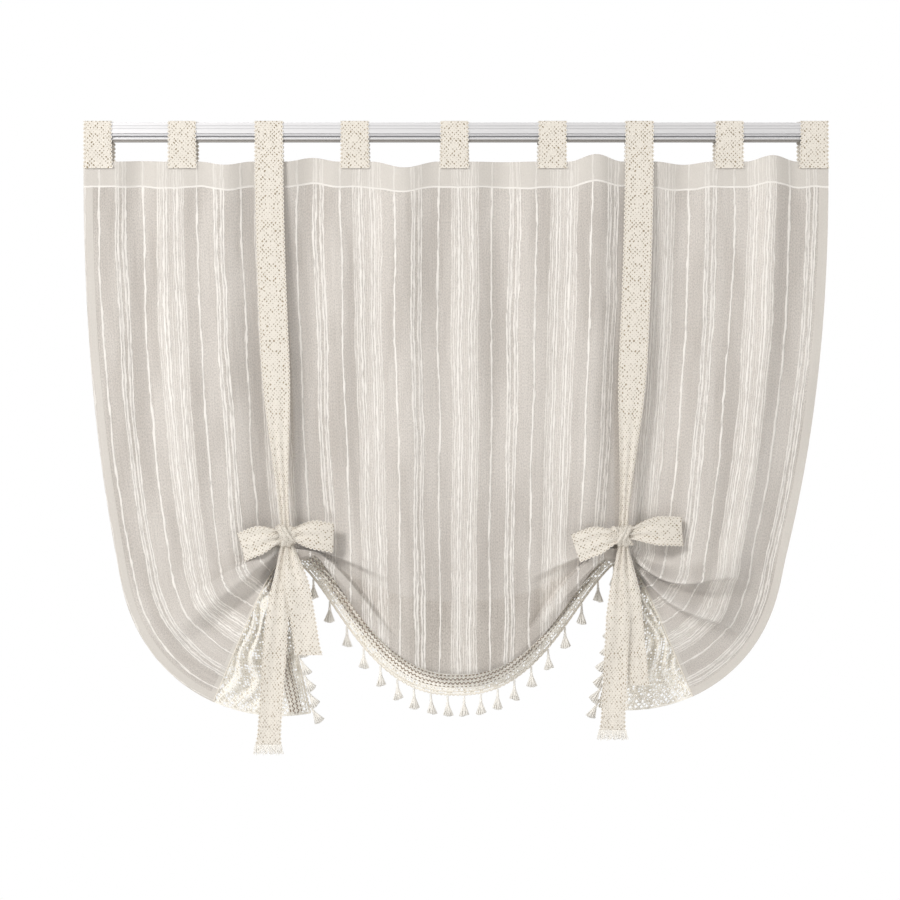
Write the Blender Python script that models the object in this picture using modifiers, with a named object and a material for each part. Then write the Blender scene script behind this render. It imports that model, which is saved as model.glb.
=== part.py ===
"""A sheer tie-up curtain on a flat rail: lace tabs, two tied lace tapes, a lace border and tassels.

Metres, +Z up, the front faces -Y. The origin is on the back face of the rail, at its middle.
"""

import bisect
import math

import bmesh
import bpy
from mathutils import Vector

# Clearances
TOUCH = 0.0004  # gap between pieces that touch on the real curtain
LAP_GAP = 0.0008  # between the hem and the lace behind it

# Rail
RAIL_COVERED = 0.003  # how far the outer tabs reach past each end
RAIL_HEIGHT = 0.036
RAIL_DEPTH = 0.012
RAIL_GROOVE = 0.0012  # depth and height of the fine groove along the front
RAIL_LIP_DEPTH = 0.0025  # how far the lower part of the front steps back
RAIL_FACE_HEIGHT = 0.021  # the broad upper band of the front
RAIL_RIDGE_HEIGHT = 0.004  # of the plain ridge below the groove
RAIL_STEP_HEIGHT = 0.0036  # of the step back below the ridge
RAIL_BEAD_HEIGHT = 0.0029  # of the bead below the step

# Cloth
HUNG_WIDTH = 1.400
FLAT_WIDTH = 1.600
CLOTH_THICKNESS = 0.0008
HEM_THICKNESS = 0.0016
HEADER_GAP = 0.0365  # from the rail's underside to the top of the cloth
HEADER_DEPTH = 0.047
SIDE_HEM = 0.020
HEM_DEPTH = 0.012
HANG_Y = -0.006  # depth of the cloth under the tabs
RIPPLE = 0.016  # how far the cloth waves forward or back between two tabs
RIPPLE_LEFT = 0.45  # share of the ripple that is left at the height of the bows
BELLY_FROM = 0.15  # share of the way down to the bows where the cloth starts to stand forward

# Tabs: evenly spaced between the outer two, each slid a little along the rail
TAPE_WIDTH = 0.055
TAPE_THICKNESS = 0.0014
TAB_LAP = 0.013  # how far a tab reaches down over the header
TAB_RISE = 0.001  # how far above the header a tab's legs spread to clear it
TAB_FLARE = 0.0004  # how much further each end of a leg stands off the header
TAB_FOOT_SPREAD = 1.06  # width of a stitched end, in tape widths
TAB_SLIDES = (0.0, -0.010, -0.015, -0.022, -0.003, 0.013, 0.008, 0.009, 0.0)
TAB_MARGIN = 0.003  # of level header on each side of a tab
TIED_TABS = (2, 6)
HEADER_RISES = (0.003, -0.008, 0.009, -0.013, 0.001, 0.012, -0.004, 0.010)

# Bows and the gathered necks behind them
TIE_DROP = 0.734  # from the top of the cloth to the middle of the neck
TIE_PULL = 0.034  # how far a neck is drawn in from its tab
NECK_HALF = 0.014  # half of the neck's length, inside the tape
NECK_HEIGHT = 0.18  # share of the swag's depth that is left inside the neck
NECK_DEPTH = 0.42  # share of the fold's depth that is left inside the neck
NECK_BUNCH = 0.014  # how much further back the bunched cloth lies in the neck by the hem
NECK_FORWARD = 0.010  # how far the neck's front stands forward of the cloth above
NECK_BACK = 0.046  # of the tape behind the neck, from the rail's back
NECK_FRONT = 0.038  # of the tape in front of the neck, from the rail's back
NECK_UNDER = 0.041  # of the tape under the neck's middle
NECK_SQUARE = 0.55  # squareness of the tape's turn under the neck: 1 is round
NECK_FADE = 0.050  # distance over which the neck opens out
NECK_LIFT = 0.5  # share of the gathered height that is taken up above the neck's middle
FAN_SPREAD = 0.5  # share of the neck's height over which the cloth opens into a side fan

# Side folds: the cloth swings round each neck
EDGE_DRAW_IN = (0.060, 0.078)  # how far the left and right side edges have come in at neck height
SEAM_ANGLE = math.radians(66)  # from level, where the hem leaves the neck
LACE_ANGLE = math.radians(101)  # from level, where the tasselled edge leaves the neck
SIDE_BULGE = 0.030
BULGE_POINT = 1.5  # power of the bulge's wave: higher is narrower
EDGE_PULL_BEND = 2.3  # how late the side edges curve in: the power of their path
NECK_PULL_BEND = 1.6  # the same beside the tapes
PULL_REACH = 0.25  # distance from the tapes over which the one changes to the other
SLANT_FADE = 0.25  # radians of swing over which that inward slant dies away

# Swag between the necks
SWAG_DROP = 0.2287  # from the neck to the lowest fold
FOLD_RADIUS = 0.016  # of the cloth where it turns under
SEAM_DROP = 0.100  # from the neck to the hem seam, behind the swag
SEAM_RADIUS = 0.006  # of the turn from the cloth to the lace, behind the swag
SEAM_LEAN = 0.004  # how far the turned-up cloth leans back
LACE_DROP = 0.273  # from the neck to the tasselled edge
SWAG_FORWARD = 0.022
SWAG_ROUND = 0.042  # how far short of the neck's middle the swag's curve starts, at each end
LACE_ROUND = 0.016  # the same for the tasselled edge
SWAG_SHIFT = 0.010  # how far right of the middle the swag hangs lowest
LACE_SHIFT = 0.004  # the same for the tasselled edge
SWAG_FULL = 2.4  # powers of the swag's curve: how full it hangs, and how sharply it comes into the necks
SWAG_FALL = 1.25

# Pleats that run out from each neck
PLEAT_DEPTH = 0.026
PLEAT_FIRST = 0.12  # place of the first valley, as a share of the cloth below neck height
PLEAT_PITCH = 0.57
PLEAT_ONSET = (-0.04, 0.14)  # shares between which the pleats rise out of the flat cloth
PLEAT_FADE = 0.22  # share above the fold over which the swag's pleats die away
PLEAT_REACH = 0.20  # how far the pleats run into the swag
PLEAT_PINCH = 0.5  # share of a pleat's depth that the neck takes away
PINCH_REACH = 0.03
PACKED_REACH = 0.11  # distance from a neck within which only the front pleats stand out
PACKED_FROM = 0.3  # share of the cloth below neck height where that starts

# Lace border
LACE_DEPTH = 0.190
LACE_THICKNESS = 0.0012
LACE_LAP = 0.006  # how far the lace reaches up behind the hem
LACE_ROWS = (0.0, 0.035, 0.07, 0.105, 0.14, 0.30, 0.42, 0.58, 0.70, 1.0)
LACE_HOLE_ROWS = (5, 7)

# Bows
BOW_RISE = 0.034  # from the neck's middle up to the knot
KNOT_SIZE = (0.030, 0.020, 0.032)
KNOT_FORWARD = 0.046  # of the knot's middle from the rail's back
NECK_TAPE_WIDTH = 0.018  # of the tape where it is drawn together at the neck
NARROWS_FROM = 0.55  # share of the way down the leg where the tape starts to narrow
LOOP_END_WIDTH = 0.050
LOOP_KNOT_WIDTH = 0.012
LOOP_DEPTH = 0.017
LOOP_SHUT = 0.15  # share of its depth that a loop keeps at the knot
LOOP_ENDS = (((-0.082, -0.023), (0.088, -0.006)), ((-0.087, -0.025), (0.110, 0.006)))
TAIL_WIDTH = 0.046
TAIL_ENDS = (((-0.030, -0.405), (0.044, -0.222)), ((-0.021, -0.378), (0.028, -0.278)))
TAIL_FORWARD = 0.020  # how much further forward a tail's end hangs than the knot
TAIL_STEP = 0.004  # from one tail to the tail behind it
TAIL_FAN = 0.8  # power of a tail's way sideways: below 1 it turns outward early
FRONT_CLEAR = 0.003  # of the front leg's end from the knot's middle, forward

# Tassels
TASSEL_COUNT = 40
THREAD_LENGTH = 0.012
THREAD_RADIUS = 0.0008
HEAD_RADIUS = 0.0030
HEAD_LENGTH = 0.006
SKIRT_RADIUS = 0.0075
SKIRT_LENGTH = 0.025
TASSEL_SIDES = 6
SIDE_TILT = math.radians(30)  # of the tassels beside the steep edge of a side fan

RAIL_BOTTOM = -RAIL_HEIGHT / 2
CLOTH_TOP = RAIL_BOTTOM - HEADER_GAP
NECK_Z = CLOTH_TOP - TIE_DROP
TURNED_UP = SWAG_DROP - FOLD_RADIUS - SEAM_DROP
BELOW_NECK = (SWAG_DROP - FOLD_RADIUS) + math.pi * FOLD_RADIUS + TURNED_UP
CLOTH_LENGTH = TIE_DROP + BELOW_NECK
STRAIGHT_END = (SWAG_DROP - FOLD_RADIUS) / BELOW_NECK
BEND_END = STRAIGHT_END + math.pi * FOLD_RADIUS / BELOW_NECK
LACE_END = 1.0 + LACE_DEPTH / BELOW_NECK


def clear_scene():
    for obj in list(bpy.data.objects):
        bpy.data.objects.remove(obj, do_unlink=True)


def material(name, colour, roughness, metallic=0.0):
    made = bpy.data.materials.new(name)
    made.use_nodes = True
    shader = made.node_tree.nodes["Principled BSDF"]
    shader.inputs["Base Color"].default_value = (*colour, 1.0)
    shader.inputs["Roughness"].default_value = roughness
    shader.inputs["Metallic"].default_value = metallic
    return made


def add_object(name, mesh, made_of, collection):
    obj = bpy.data.objects.new(name, mesh)
    obj.data.materials.append(made_of)
    collection.objects.link(obj)
    return obj


def step(low, high, value):
    """Smooth rise from 0 at low to 1 at high."""
    part = min(1.0, max(0.0, (value - low) / (high - low)))
    return part * part * (3.0 - 2.0 * part)


def mix(first, second, part):
    return first + (second - first) * part


def tab_centres():
    """Places of the tabs along X, left to right."""
    first = -HUNG_WIDTH / 2 + TAPE_WIDTH / 2
    pitch = (HUNG_WIDTH - TAPE_WIDTH) / (len(TAB_SLIDES) - 1)
    return [first + pitch * number + slide for number, slide in enumerate(TAB_SLIDES)]


TABS = tab_centres()
TAB_CLEAR = TAPE_WIDTH / 2 + TAB_MARGIN
FULLNESS = FLAT_WIDTH / HUNG_WIDTH
RAIL_LENGTH = HUNG_WIDTH - 2.0 * RAIL_COVERED
TIE_ACROSS = [(TABS[number] + HUNG_WIDTH / 2) * FULLNESS for number in TIED_TABS]
NECK_X = (TABS[TIED_TABS[0]] + TIE_PULL, TABS[TIED_TABS[1]] - TIE_PULL)
SIDE_RADIUS = [HUNG_WIDTH / 2 - EDGE_DRAW_IN[side] - abs(NECK_X[side]) - NECK_HALF for side in (0, 1)]


def header_x(across):
    return across / FULLNESS - HUNG_WIDTH / 2


def bay_of(x):
    """Number of the gap between two tabs at x, and how far along it x lies. Under the tabs it is level."""
    number = bisect.bisect_right(TABS, x) - 1
    if number < 0 or number >= len(TABS) - 1:
        return 0, 0.0
    start = TABS[number] + TAB_CLEAR
    end = TABS[number + 1] - TAB_CLEAR
    return number, min(1.0, max(0.0, (x - start) / (end - start)))


def header_rise(x):
    number, part = bay_of(x)
    return HEADER_RISES[number] * math.sin(math.pi * part) ** 2


def ripple(x):
    number, part = bay_of(x)
    side = -1.0 if number % 2 else 1.0
    return side * RIPPLE * math.sin(math.pi * part) ** 2


def level_place(across):
    """Where a thread crosses neck height, as (x, distance from the nearer neck, side, share of the swag)."""
    if across <= TIE_ACROSS[0]:
        away = (1.0 - across / TIE_ACROSS[0]) * (SIDE_RADIUS[0] + NECK_HALF)
        return NECK_X[0] - away, away, -1, 0.0
    if across >= TIE_ACROSS[1]:
        share = (across - TIE_ACROSS[1]) / (FLAT_WIDTH - TIE_ACROSS[1])
        away = share * (SIDE_RADIUS[1] + NECK_HALF)
        return NECK_X[1] + away, away, 1, 1.0
    share = (across - TIE_ACROSS[0]) / (TIE_ACROSS[1] - TIE_ACROSS[0])
    x = mix(NECK_X[0], NECK_X[1], share)
    return x, min(x - NECK_X[0], NECK_X[1] - x), 0, share


def pull_bend(away, side):
    """Power of the path by which a thread comes in from the header to neck height."""
    return mix(NECK_PULL_BEND, EDGE_PULL_BEND, step(0.0, PULL_REACH, away) if side else 0.0)


def forward(across):
    """How far the cloth stands forward at neck height."""
    away, side, share = level_place(across)[1:]
    if side == 0:
        return SWAG_FORWARD * math.sin(math.pi * share)
    reach = SIDE_RADIUS[0 if side < 0 else 1]
    return SIDE_BULGE * math.sin(math.pi * min(1.0, away / reach)) ** BULGE_POINT


def neck_share(away):
    return math.exp(-((away / NECK_FADE) ** 2))


def swag_curve(x, down):
    """Hanging curve from neck to neck: 0 at the necks, 1 in the middle."""
    turned = step(BEND_END, LACE_END, down)
    half = (NECK_X[1] - NECK_X[0]) / 2 - mix(SWAG_ROUND, LACE_ROUND, turned)
    middle = (NECK_X[0] + NECK_X[1]) / 2 + mix(SWAG_SHIFT, LACE_SHIFT, turned)
    part = min(1.0, abs(x - middle) / half)
    return (1.0 - part**SWAG_FULL) ** SWAG_FALL


def turned_profile(down):
    """The cloth's path at the middle of the swag, as (back, below).

    It runs down the front, round the fold, up to the seam, then down the lace.
    """
    back = 2.0 * FOLD_RADIUS
    if down <= STRAIGHT_END:
        return 0.0, down * BELOW_NECK
    if down <= BEND_END:
        turn = math.pi * (down - STRAIGHT_END) / (BEND_END - STRAIGHT_END)
        return FOLD_RADIUS * (1.0 - math.cos(turn)), SWAG_DROP - FOLD_RADIUS * (1.0 - math.sin(turn))
    if down <= 1.0:
        part = (down - BEND_END) / (1.0 - BEND_END)
        return back + SEAM_LEAN * part, SWAG_DROP - FOLD_RADIUS - TURNED_UP * part
    turned = (down - 1.0) * BELOW_NECK
    if turned <= math.pi * SEAM_RADIUS:
        turn = turned / SEAM_RADIUS
        back += SEAM_LEAN + SEAM_RADIUS * (1.0 - math.cos(turn))
        return back, SEAM_DROP - SEAM_RADIUS * math.sin(turn)
    part = (turned - math.pi * SEAM_RADIUS) / (LACE_DEPTH - math.pi * SEAM_RADIUS)
    return back + SEAM_LEAN + 2.0 * SEAM_RADIUS, mix(SEAM_DROP, LACE_DROP, part)


def pleat(down):
    """Forward wave of the pleats that run out from a neck."""
    wave = 0.5 - 0.5 * math.cos(2.0 * math.pi * (down - PLEAT_FIRST) / PLEAT_PITCH)
    return wave * step(*PLEAT_ONSET, down)


def pleat_depth(away, reach):
    part = min(1.0, away / reach)
    pinched = PLEAT_PINCH * math.exp(-((away / PINCH_REACH) ** 2))
    return PLEAT_DEPTH * (1.0 - part * part) * (1.0 - pinched)


def drape(across, length):
    """Point of the hung cloth, from its flat place: across from the left edge, length down from the top."""
    x_level, away, side = level_place(across)[:3]
    x_top = header_x(across)
    wave = ripple(x_top)
    near = neck_share(away)
    lift = NECK_LIFT * NECK_HEIGHT * SWAG_DROP * near
    if length < TIE_DROP:
        part = length / TIE_DROP
        x = mix(x_top, x_level, part ** pull_bend(away, side))
        z = CLOTH_TOP + header_rise(x_top) * (1.0 - part) ** 2 - length
        z += lift * part**6
        y = HANG_Y + wave * mix(1.0, RIPPLE_LEFT, part)
        y -= forward(across) * step(BELLY_FROM, 1.0, part)
        y -= NECK_FORWARD * near * part**8
        return Vector((x, y, z))
    down = (length - TIE_DROP) / BELOW_NECK
    back, below = turned_profile(down)
    y = HANG_Y + wave * RIPPLE_LEFT * (1.0 - step(0.0, 0.5, down)) - forward(across)
    y += near * (NECK_DEPTH * back + NECK_BUNCH * down * down - NECK_FORWARD)
    if side == 0:
        curve = swag_curve(x_level, down)
        front = 1.0 - step(STRAIGHT_END - PLEAT_FADE, STRAIGHT_END, down)
        y -= pleat(down) * pleat_depth(away, PLEAT_REACH) * front
        y += back * curve
        z = NECK_Z + lift - below * (curve + NECK_HEIGHT * near)
        return Vector((x_level, y, z))
    reach = SIDE_RADIUS[0 if side < 0 else 1]
    turn = SEAM_ANGLE * down
    if down > 1.0:
        turn = mix(SEAM_ANGLE, LACE_ANGLE, (down - 1.0) / (LACE_END - 1.0))
    radius = max(0.0, away - NECK_HALF)
    slant = pull_bend(away, side) * side * (x_top - x_level) / TIE_DROP
    radius *= 1.0 - slant * turn * math.exp(-turn / SLANT_FADE)
    x = NECK_X[0 if side < 0 else 1] + side * (min(away, NECK_HALF) + radius * math.cos(turn))
    packed = math.exp(-((away / PACKED_REACH) ** 2)) * step(PACKED_FROM, STRAIGHT_END, down)
    y -= pleat(down) * pleat_depth(away, reach) * (1.0 - packed)
    folded = 1.0 - step(0.0, NECK_HALF, away)
    spread = NECK_HEIGHT * mix(SWAG_DROP * down / STRAIGHT_END * FAN_SPREAD, below, folded)
    z = NECK_Z + lift - spread * near - radius * math.sin(turn)
    return Vector((x, y, z))


def lace_point(across, length):
    """Point of the border, which follows the lines of the cloth's grid and lies just behind its hem."""
    columns = cloth_columns()
    number = min(bisect.bisect_right(columns, across), len(columns) - 1)
    first, second = columns[number - 1], columns[number]
    point = drape(first, length).lerp(drape(second, length), (across - first) / (second - first))
    return point + Vector((0.0, (HEM_THICKNESS + LACE_THICKNESS) / 2 + LAP_GAP, 0.0))


def sheet_mesh(name, columns, rows, point, left_out=()):
    """Open sheet over a grid. left_out holds the (column, row) cells that are holes."""
    shell = bmesh.new()
    grid = [[shell.verts.new(point(column, row)) for row in rows] for column in columns]
    for column in range(len(columns) - 1):
        for row in range(len(rows) - 1):
            if (column, row) in left_out:
                continue
            near, far = grid[column], grid[column + 1]
            shell.faces.new((near[row], near[row + 1], far[row + 1], far[row]))
    mesh = bpy.data.meshes.new(name)
    shell.to_mesh(mesh)
    shell.free()
    return mesh


def thicken(obj, thickness, thin_share=None):
    solid = obj.modifiers.new("Solidify", "SOLIDIFY")
    solid.thickness = thickness
    solid.offset = 0.0
    if thin_share is not None:
        solid.vertex_group = obj.vertex_groups[0].name
        solid.thickness_vertex_group = thin_share
    return solid


def cloth_columns():
    """Flat places across the cloth of the grid's lines: at each tab's edges, and closer beside each neck."""
    stops = [0.0, SIDE_HEM, FLAT_WIDTH - SIDE_HEM, FLAT_WIDTH]
    for left, right in zip(TABS, TABS[1:]):
        places = [mix(left + TAB_CLEAR, right - TAB_CLEAR, number / 3) for number in range(4)]
        stops += [(x + HUNG_WIDTH / 2) * FULLNESS for x in places]
    for middle in TIE_ACROSS:
        stops += [middle - NECK_HALF * FULLNESS, middle, middle + NECK_HALF * FULLNESS]
    return sorted(stops)


def cloth_rows():
    upper = [0.0, HEADER_DEPTH]
    upper += [mix(HEADER_DEPTH, TIE_DROP, number / 9) for number in range(1, 9)]
    lower = [TIE_DROP + BELOW_NECK * number / 20 for number in range(20)]
    return upper + lower + [CLOTH_LENGTH - HEM_DEPTH, CLOTH_LENGTH]


def build_panel(collection, made_of):
    columns = cloth_columns()
    rows = cloth_rows()
    obj = add_object("panel", sheet_mesh("panel", columns, rows, drape), made_of, collection)
    group = obj.vertex_groups.new(name="hems")
    for place, across in enumerate(columns):
        for line, length in enumerate(rows):
            hemmed = (
                length <= HEADER_DEPTH
                or length >= CLOTH_LENGTH - HEM_DEPTH
                or across <= SIDE_HEM
                or across >= FLAT_WIDTH - SIDE_HEM
            )
            group.add([place * len(rows) + line], 1.0 if hemmed else 0.0, "REPLACE")
    thicken(obj, HEM_THICKNESS, CLOTH_THICKNESS / HEM_THICKNESS)
    return obj


def build_border(collection, made_of):
    lines = cloth_columns()
    columns = sorted(lines + [(first + second) / 2 for first, second in zip(lines, lines[1:])])
    rows = [mix(CLOTH_LENGTH - LACE_LAP, CLOTH_LENGTH + LACE_DEPTH, share) for share in LACE_ROWS]
    holes = {(column, row) for column in range(1, len(columns) - 2, 2) for row in LACE_HOLE_ROWS}
    mesh = sheet_mesh("lace_border", columns, rows, lace_point, holes)
    obj = add_object("lace_border", mesh, made_of, collection)
    thicken(obj, LACE_THICKNESS)
    return obj


def build_rail(collection, made_of):
    """Extruded profile with a broad band, a groove and a stepped-back lower lip."""
    top = RAIL_HEIGHT / 2
    groove_top = top - RAIL_FACE_HEIGHT
    groove_bottom = groove_top - RAIL_GROOVE
    lip_top = groove_bottom - RAIL_RIDGE_HEIGHT
    lip_bottom = lip_top - RAIL_STEP_HEIGHT
    bead_bottom = lip_bottom - RAIL_BEAD_HEIGHT
    front = -RAIL_DEPTH
    stepped = front + RAIL_LIP_DEPTH
    outline = [
        (0.0, top),
        (front, top),
        (front, groove_top),
        (front + RAIL_GROOVE, groove_top),
        (front + RAIL_GROOVE, groove_bottom),
        (front, groove_bottom),
        (front, lip_top),
        (stepped, lip_top),
        (stepped, lip_bottom),
        (front + RAIL_GROOVE, lip_bottom),
        (front + RAIL_GROOVE, bead_bottom),
        (stepped, bead_bottom),
        (stepped, RAIL_BOTTOM),
        (0.0, RAIL_BOTTOM),
    ]
    shape = bmesh.new()
    ring = [shape.verts.new((-RAIL_LENGTH / 2, y, z)) for y, z in outline]
    face = shape.faces.new(ring)
    grown = bmesh.ops.extrude_face_region(shape, geom=[face])
    moved = [item for item in grown["geom"] if isinstance(item, bmesh.types.BMVert)]
    bmesh.ops.translate(shape, verts=moved, vec=(RAIL_LENGTH, 0.0, 0.0))
    bmesh.ops.recalc_face_normals(shape, faces=shape.faces)
    mesh = bpy.data.meshes.new("rail")
    shape.to_mesh(mesh)
    shape.free()
    return add_object("rail", mesh, made_of, collection)


def strip_mesh(name, path, widths, sideways=None):
    """Open ribbon along a path of points. sideways gives the ribbon's cross direction at each point."""
    shell = bmesh.new()
    rows = []
    for number, (point, width) in enumerate(zip(path, widths)):
        across = sideways[number] if sideways else Vector((1.0, 0.0, 0.0))
        half = across * (width / 2)
        rows.append((shell.verts.new(point - half), shell.verts.new(point), shell.verts.new(point + half)))
    for lower, upper in zip(rows, rows[1:]):
        shell.faces.new((lower[0], lower[1], upper[1], upper[0]))
        shell.faces.new((lower[1], lower[2], upper[2], upper[1]))
    mesh = bpy.data.meshes.new(name)
    shell.to_mesh(mesh)
    shell.free()
    return mesh


def loop_over_rail(x):
    """Path of a tape up the front of the rail, over it and down its back, at x."""
    half = TAPE_THICKNESS / 2 + TOUCH
    turn = half * math.sqrt(0.5)
    top = RAIL_HEIGHT / 2
    front = -RAIL_DEPTH
    path = [(front - half, RAIL_BOTTOM), (front - half, top), (front - turn, top + turn), (front, top + half)]
    path += [(0.0, top + half), (turn, top + turn), (half, top), (half, RAIL_BOTTOM)]
    return [Vector((x, y, z)) for y, z in path]


def build_tab(collection, number, made_of):
    """A short tab: the loop over the rail, with both ends lying on the header."""
    x = TABS[number]
    clear = (HEM_THICKNESS + TAPE_THICKNESS) / 2 + TOUCH
    top = CLOTH_TOP + TAB_RISE
    foot = CLOTH_TOP - TAB_LAP
    near = clear + TAB_FLARE
    far = near + TAB_FLARE
    path = [Vector((x, HANG_Y - far, foot)), Vector((x, HANG_Y - near, top))]
    path += loop_over_rail(x)
    path += [Vector((x, HANG_Y + near, top)), Vector((x, HANG_Y + far, foot))]
    foot_width = TAPE_WIDTH * TAB_FOOT_SPREAD
    widths = [foot_width] + [TAPE_WIDTH] * (len(path) - 2) + [foot_width]
    name = f"tab_{number + 1}"
    obj = add_object(name, strip_mesh(name, path, widths), made_of, collection)
    thicken(obj, TAPE_THICKNESS)
    return obj


def neck_loop(side):
    """Path and widths of a tie from its knot up the front, over the rail, down and round the neck."""
    x_top = TABS[TIED_TABS[side]]
    x_neck = NECK_X[side]
    knot_z = NECK_Z + BOW_RISE
    in_knot = KNOT_SIZE[2] / 5
    over = loop_over_rail(x_top)
    front = []
    back = []
    for number in range(1, 13):
        share = number / 12
        x = mix(x_top, x_neck, share**NECK_PULL_BEND)
        width = mix(TAPE_WIDTH, NECK_TAPE_WIDTH, step(NARROWS_FROM, 1.0, share))
        front_y = mix(over[0].y, -KNOT_FORWARD - FRONT_CLEAR, share)
        back_y = mix(over[-1].y, NECK_BACK, share)
        front.append((Vector((x, front_y, mix(RAIL_BOTTOM, knot_z + in_knot, share))), width))
        back.append((Vector((x, back_y, mix(RAIL_BOTTOM, NECK_Z, share))), width))
    middle_y = (NECK_BACK - NECK_FRONT) / 2
    reach = (NECK_BACK + NECK_FRONT) / 2
    under = []
    for number in range(1, 9):
        turn = math.pi * number / 8
        level = math.copysign(abs(math.cos(turn)) ** NECK_SQUARE, math.cos(turn))
        deep = abs(math.sin(turn)) ** NECK_SQUARE
        spot = Vector((x_neck, middle_y + reach * level, NECK_Z - NECK_UNDER * deep))
        under.append((spot, NECK_TAPE_WIDTH))
    under.append((Vector((x_neck, -NECK_FRONT - TAPE_THICKNESS, knot_z - in_knot)), NECK_TAPE_WIDTH))
    places = front[::-1] + [(point, TAPE_WIDTH) for point in over] + back + under
    return [place for place, width in places], [width for place, width in places]


def bow_loop(name, knot, end):
    """Open ribbon out from the knot and back, for a bow's loop whose tip is at end, (x, z) from the knot."""
    stops = [number / 7 for number in range(8)]
    path = []
    widths = []
    for side, shares in ((-1.0, stops), (1.0, stops[::-1])):
        for share in shares:
            round_share = math.sin(math.pi * share**0.8)
            open_share = mix(round_share, 1.0 - share**6, LOOP_SHUT)
            gap = LOOP_DEPTH / 2 * open_share + TAPE_THICKNESS
            path.append(knot + Vector((end[0] * share, side * gap, end[1] * share)))
            widths.append(mix(LOOP_KNOT_WIDTH, LOOP_END_WIDTH, step(0.0, 0.9, share)))
    slope = Vector((-end[1], 0.0, end[0])).normalized()
    return strip_mesh(name, path, widths, [slope] * len(path))


def tail(name, knot, end, behind):
    path = []
    widths = []
    for number in range(9):
        share = number / 8
        x = knot.x + end[0] * share**TAIL_FAN
        y = knot.y + behind - TAIL_FORWARD * step(0.0, 0.5, share)
        path.append(Vector((x, y, knot.z + end[1] * share)))
        widths.append(mix(LOOP_KNOT_WIDTH, TAIL_WIDTH, step(0.0, 0.6, share)))
    return strip_mesh(name, path, widths)


def join_to(obj, name, mesh, helpers, thickness=None):
    """Adds a piece to obj by a union. The piece itself stays hidden."""
    piece = bpy.data.objects.new(name, mesh)
    helpers.objects.link(piece)
    piece.hide_render = True
    piece.display_type = "WIRE"
    if thickness:
        thicken(piece, thickness)
    union = obj.modifiers.new(name, "BOOLEAN")
    union.operation = "UNION"
    union.object = piece


def knot_mesh(name, knot):
    shape = bmesh.new()
    bmesh.ops.create_uvsphere(shape, u_segments=10, v_segments=6, radius=0.5)
    bmesh.ops.scale(shape, verts=shape.verts, vec=KNOT_SIZE)
    bmesh.ops.translate(shape, verts=shape.verts, vec=knot)
    mesh = bpy.data.meshes.new(name)
    shape.to_mesh(mesh)
    shape.free()
    return mesh


def build_tie(collection, helpers, side, made_of):
    """A long tape as one piece: the loop over the rail and round the neck, the knot and the bow."""
    name = ("tie_left", "tie_right")[side]
    path, widths = neck_loop(side)
    obj = add_object(name, strip_mesh(name, path, widths), made_of, collection)
    thicken(obj, TAPE_THICKNESS)
    knot = Vector((NECK_X[side], -KNOT_FORWARD, NECK_Z + BOW_RISE))
    for number, end in enumerate(LOOP_ENDS[side]):
        join_to(obj, f"{name}_loop_{number}", bow_loop(name, knot, end), helpers, TAPE_THICKNESS)
    for number, end in enumerate(TAIL_ENDS[side]):
        hanging = tail(name, knot, end, TAIL_STEP * number)
        join_to(obj, f"{name}_tail_{number}", hanging, helpers, TAPE_THICKNESS)
    join_to(obj, f"{name}_knot", knot_mesh(name, knot), helpers)
    return obj


def tassel_mesh():
    """Half profile of a tassel, from the top of its thread down to its skirt's foot, turned by a Screw."""
    head = -THREAD_LENGTH
    foot = -THREAD_LENGTH - SKIRT_LENGTH
    profile = [
        (0.0, 0.0),
        (THREAD_RADIUS, 0.0),
        (THREAD_RADIUS, head),
        (HEAD_RADIUS, head - HEAD_LENGTH),
        (SKIRT_RADIUS, foot),
        (0.0, foot),
    ]
    mesh = bpy.data.meshes.new("tassel")
    edges = [(number, number + 1) for number in range(len(profile) - 1)]
    mesh.from_pydata([(x, 0.0, z) for x, z in profile], edges, [])
    return mesh


def build_tassels(collection, made_of):
    mesh = tassel_mesh()
    edge = CLOTH_LENGTH + LACE_DEPTH
    nearby = THREAD_LENGTH / 2
    pitch = FLAT_WIDTH / TASSEL_COUNT
    for number in range(TASSEL_COUNT):
        across = (number + 0.5) * pitch
        away, side = level_place(across)[1:3]
        point = lace_point(across, edge)
        along = (lace_point(across + nearby, edge) - lace_point(across - nearby, edge)).normalized()
        outward = point - lace_point(across, edge - nearby)
        outward = (outward - along * outward.dot(along)).normalized()
        tilt = side * SIDE_TILT * step(NECK_HALF, 4.0 * NECK_HALF, away)
        axis = Vector((math.sin(tilt), 0.0, math.cos(tilt)))
        reach = THREAD_RADIUS * math.sqrt(max(0.0, 1.0 - outward.dot(axis) ** 2))
        obj = add_object(f"tassel_{number + 1:02d}", mesh, made_of, collection)
        obj.location = point + outward * (reach + TOUCH)
        obj.rotation_euler = (0.0, tilt, 0.0)
        turned = obj.modifiers.new("Screw", "SCREW")
        turned.steps = TASSEL_SIDES
        turned.render_steps = TASSEL_SIDES
        turned.use_merge_vertices = True
        turned.merge_threshold = 0.00001


def build_all():
    clear_scene()
    collection = bpy.data.collections.new("lace_curtain")
    helpers = bpy.data.collections.new("joined_pieces")
    for made in (collection, helpers):
        bpy.context.scene.collection.children.link(made)
    metal = material("anodised_aluminium", (0.74, 0.74, 0.76), 0.35, 1.0)
    cloth = material("sheer_cotton", (0.68, 0.65, 0.61), 0.9)
    lace = material("cotton_lace", (0.82, 0.77, 0.68), 0.95)
    build_rail(collection, metal)
    build_panel(collection, cloth)
    build_border(collection, lace)
    for number in range(len(TABS)):
        if number not in TIED_TABS:
            build_tab(collection, number, lace)
    for side in (0, 1):
        build_tie(collection, helpers, side, lace)
    build_tassels(collection, lace)


build_all()
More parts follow.
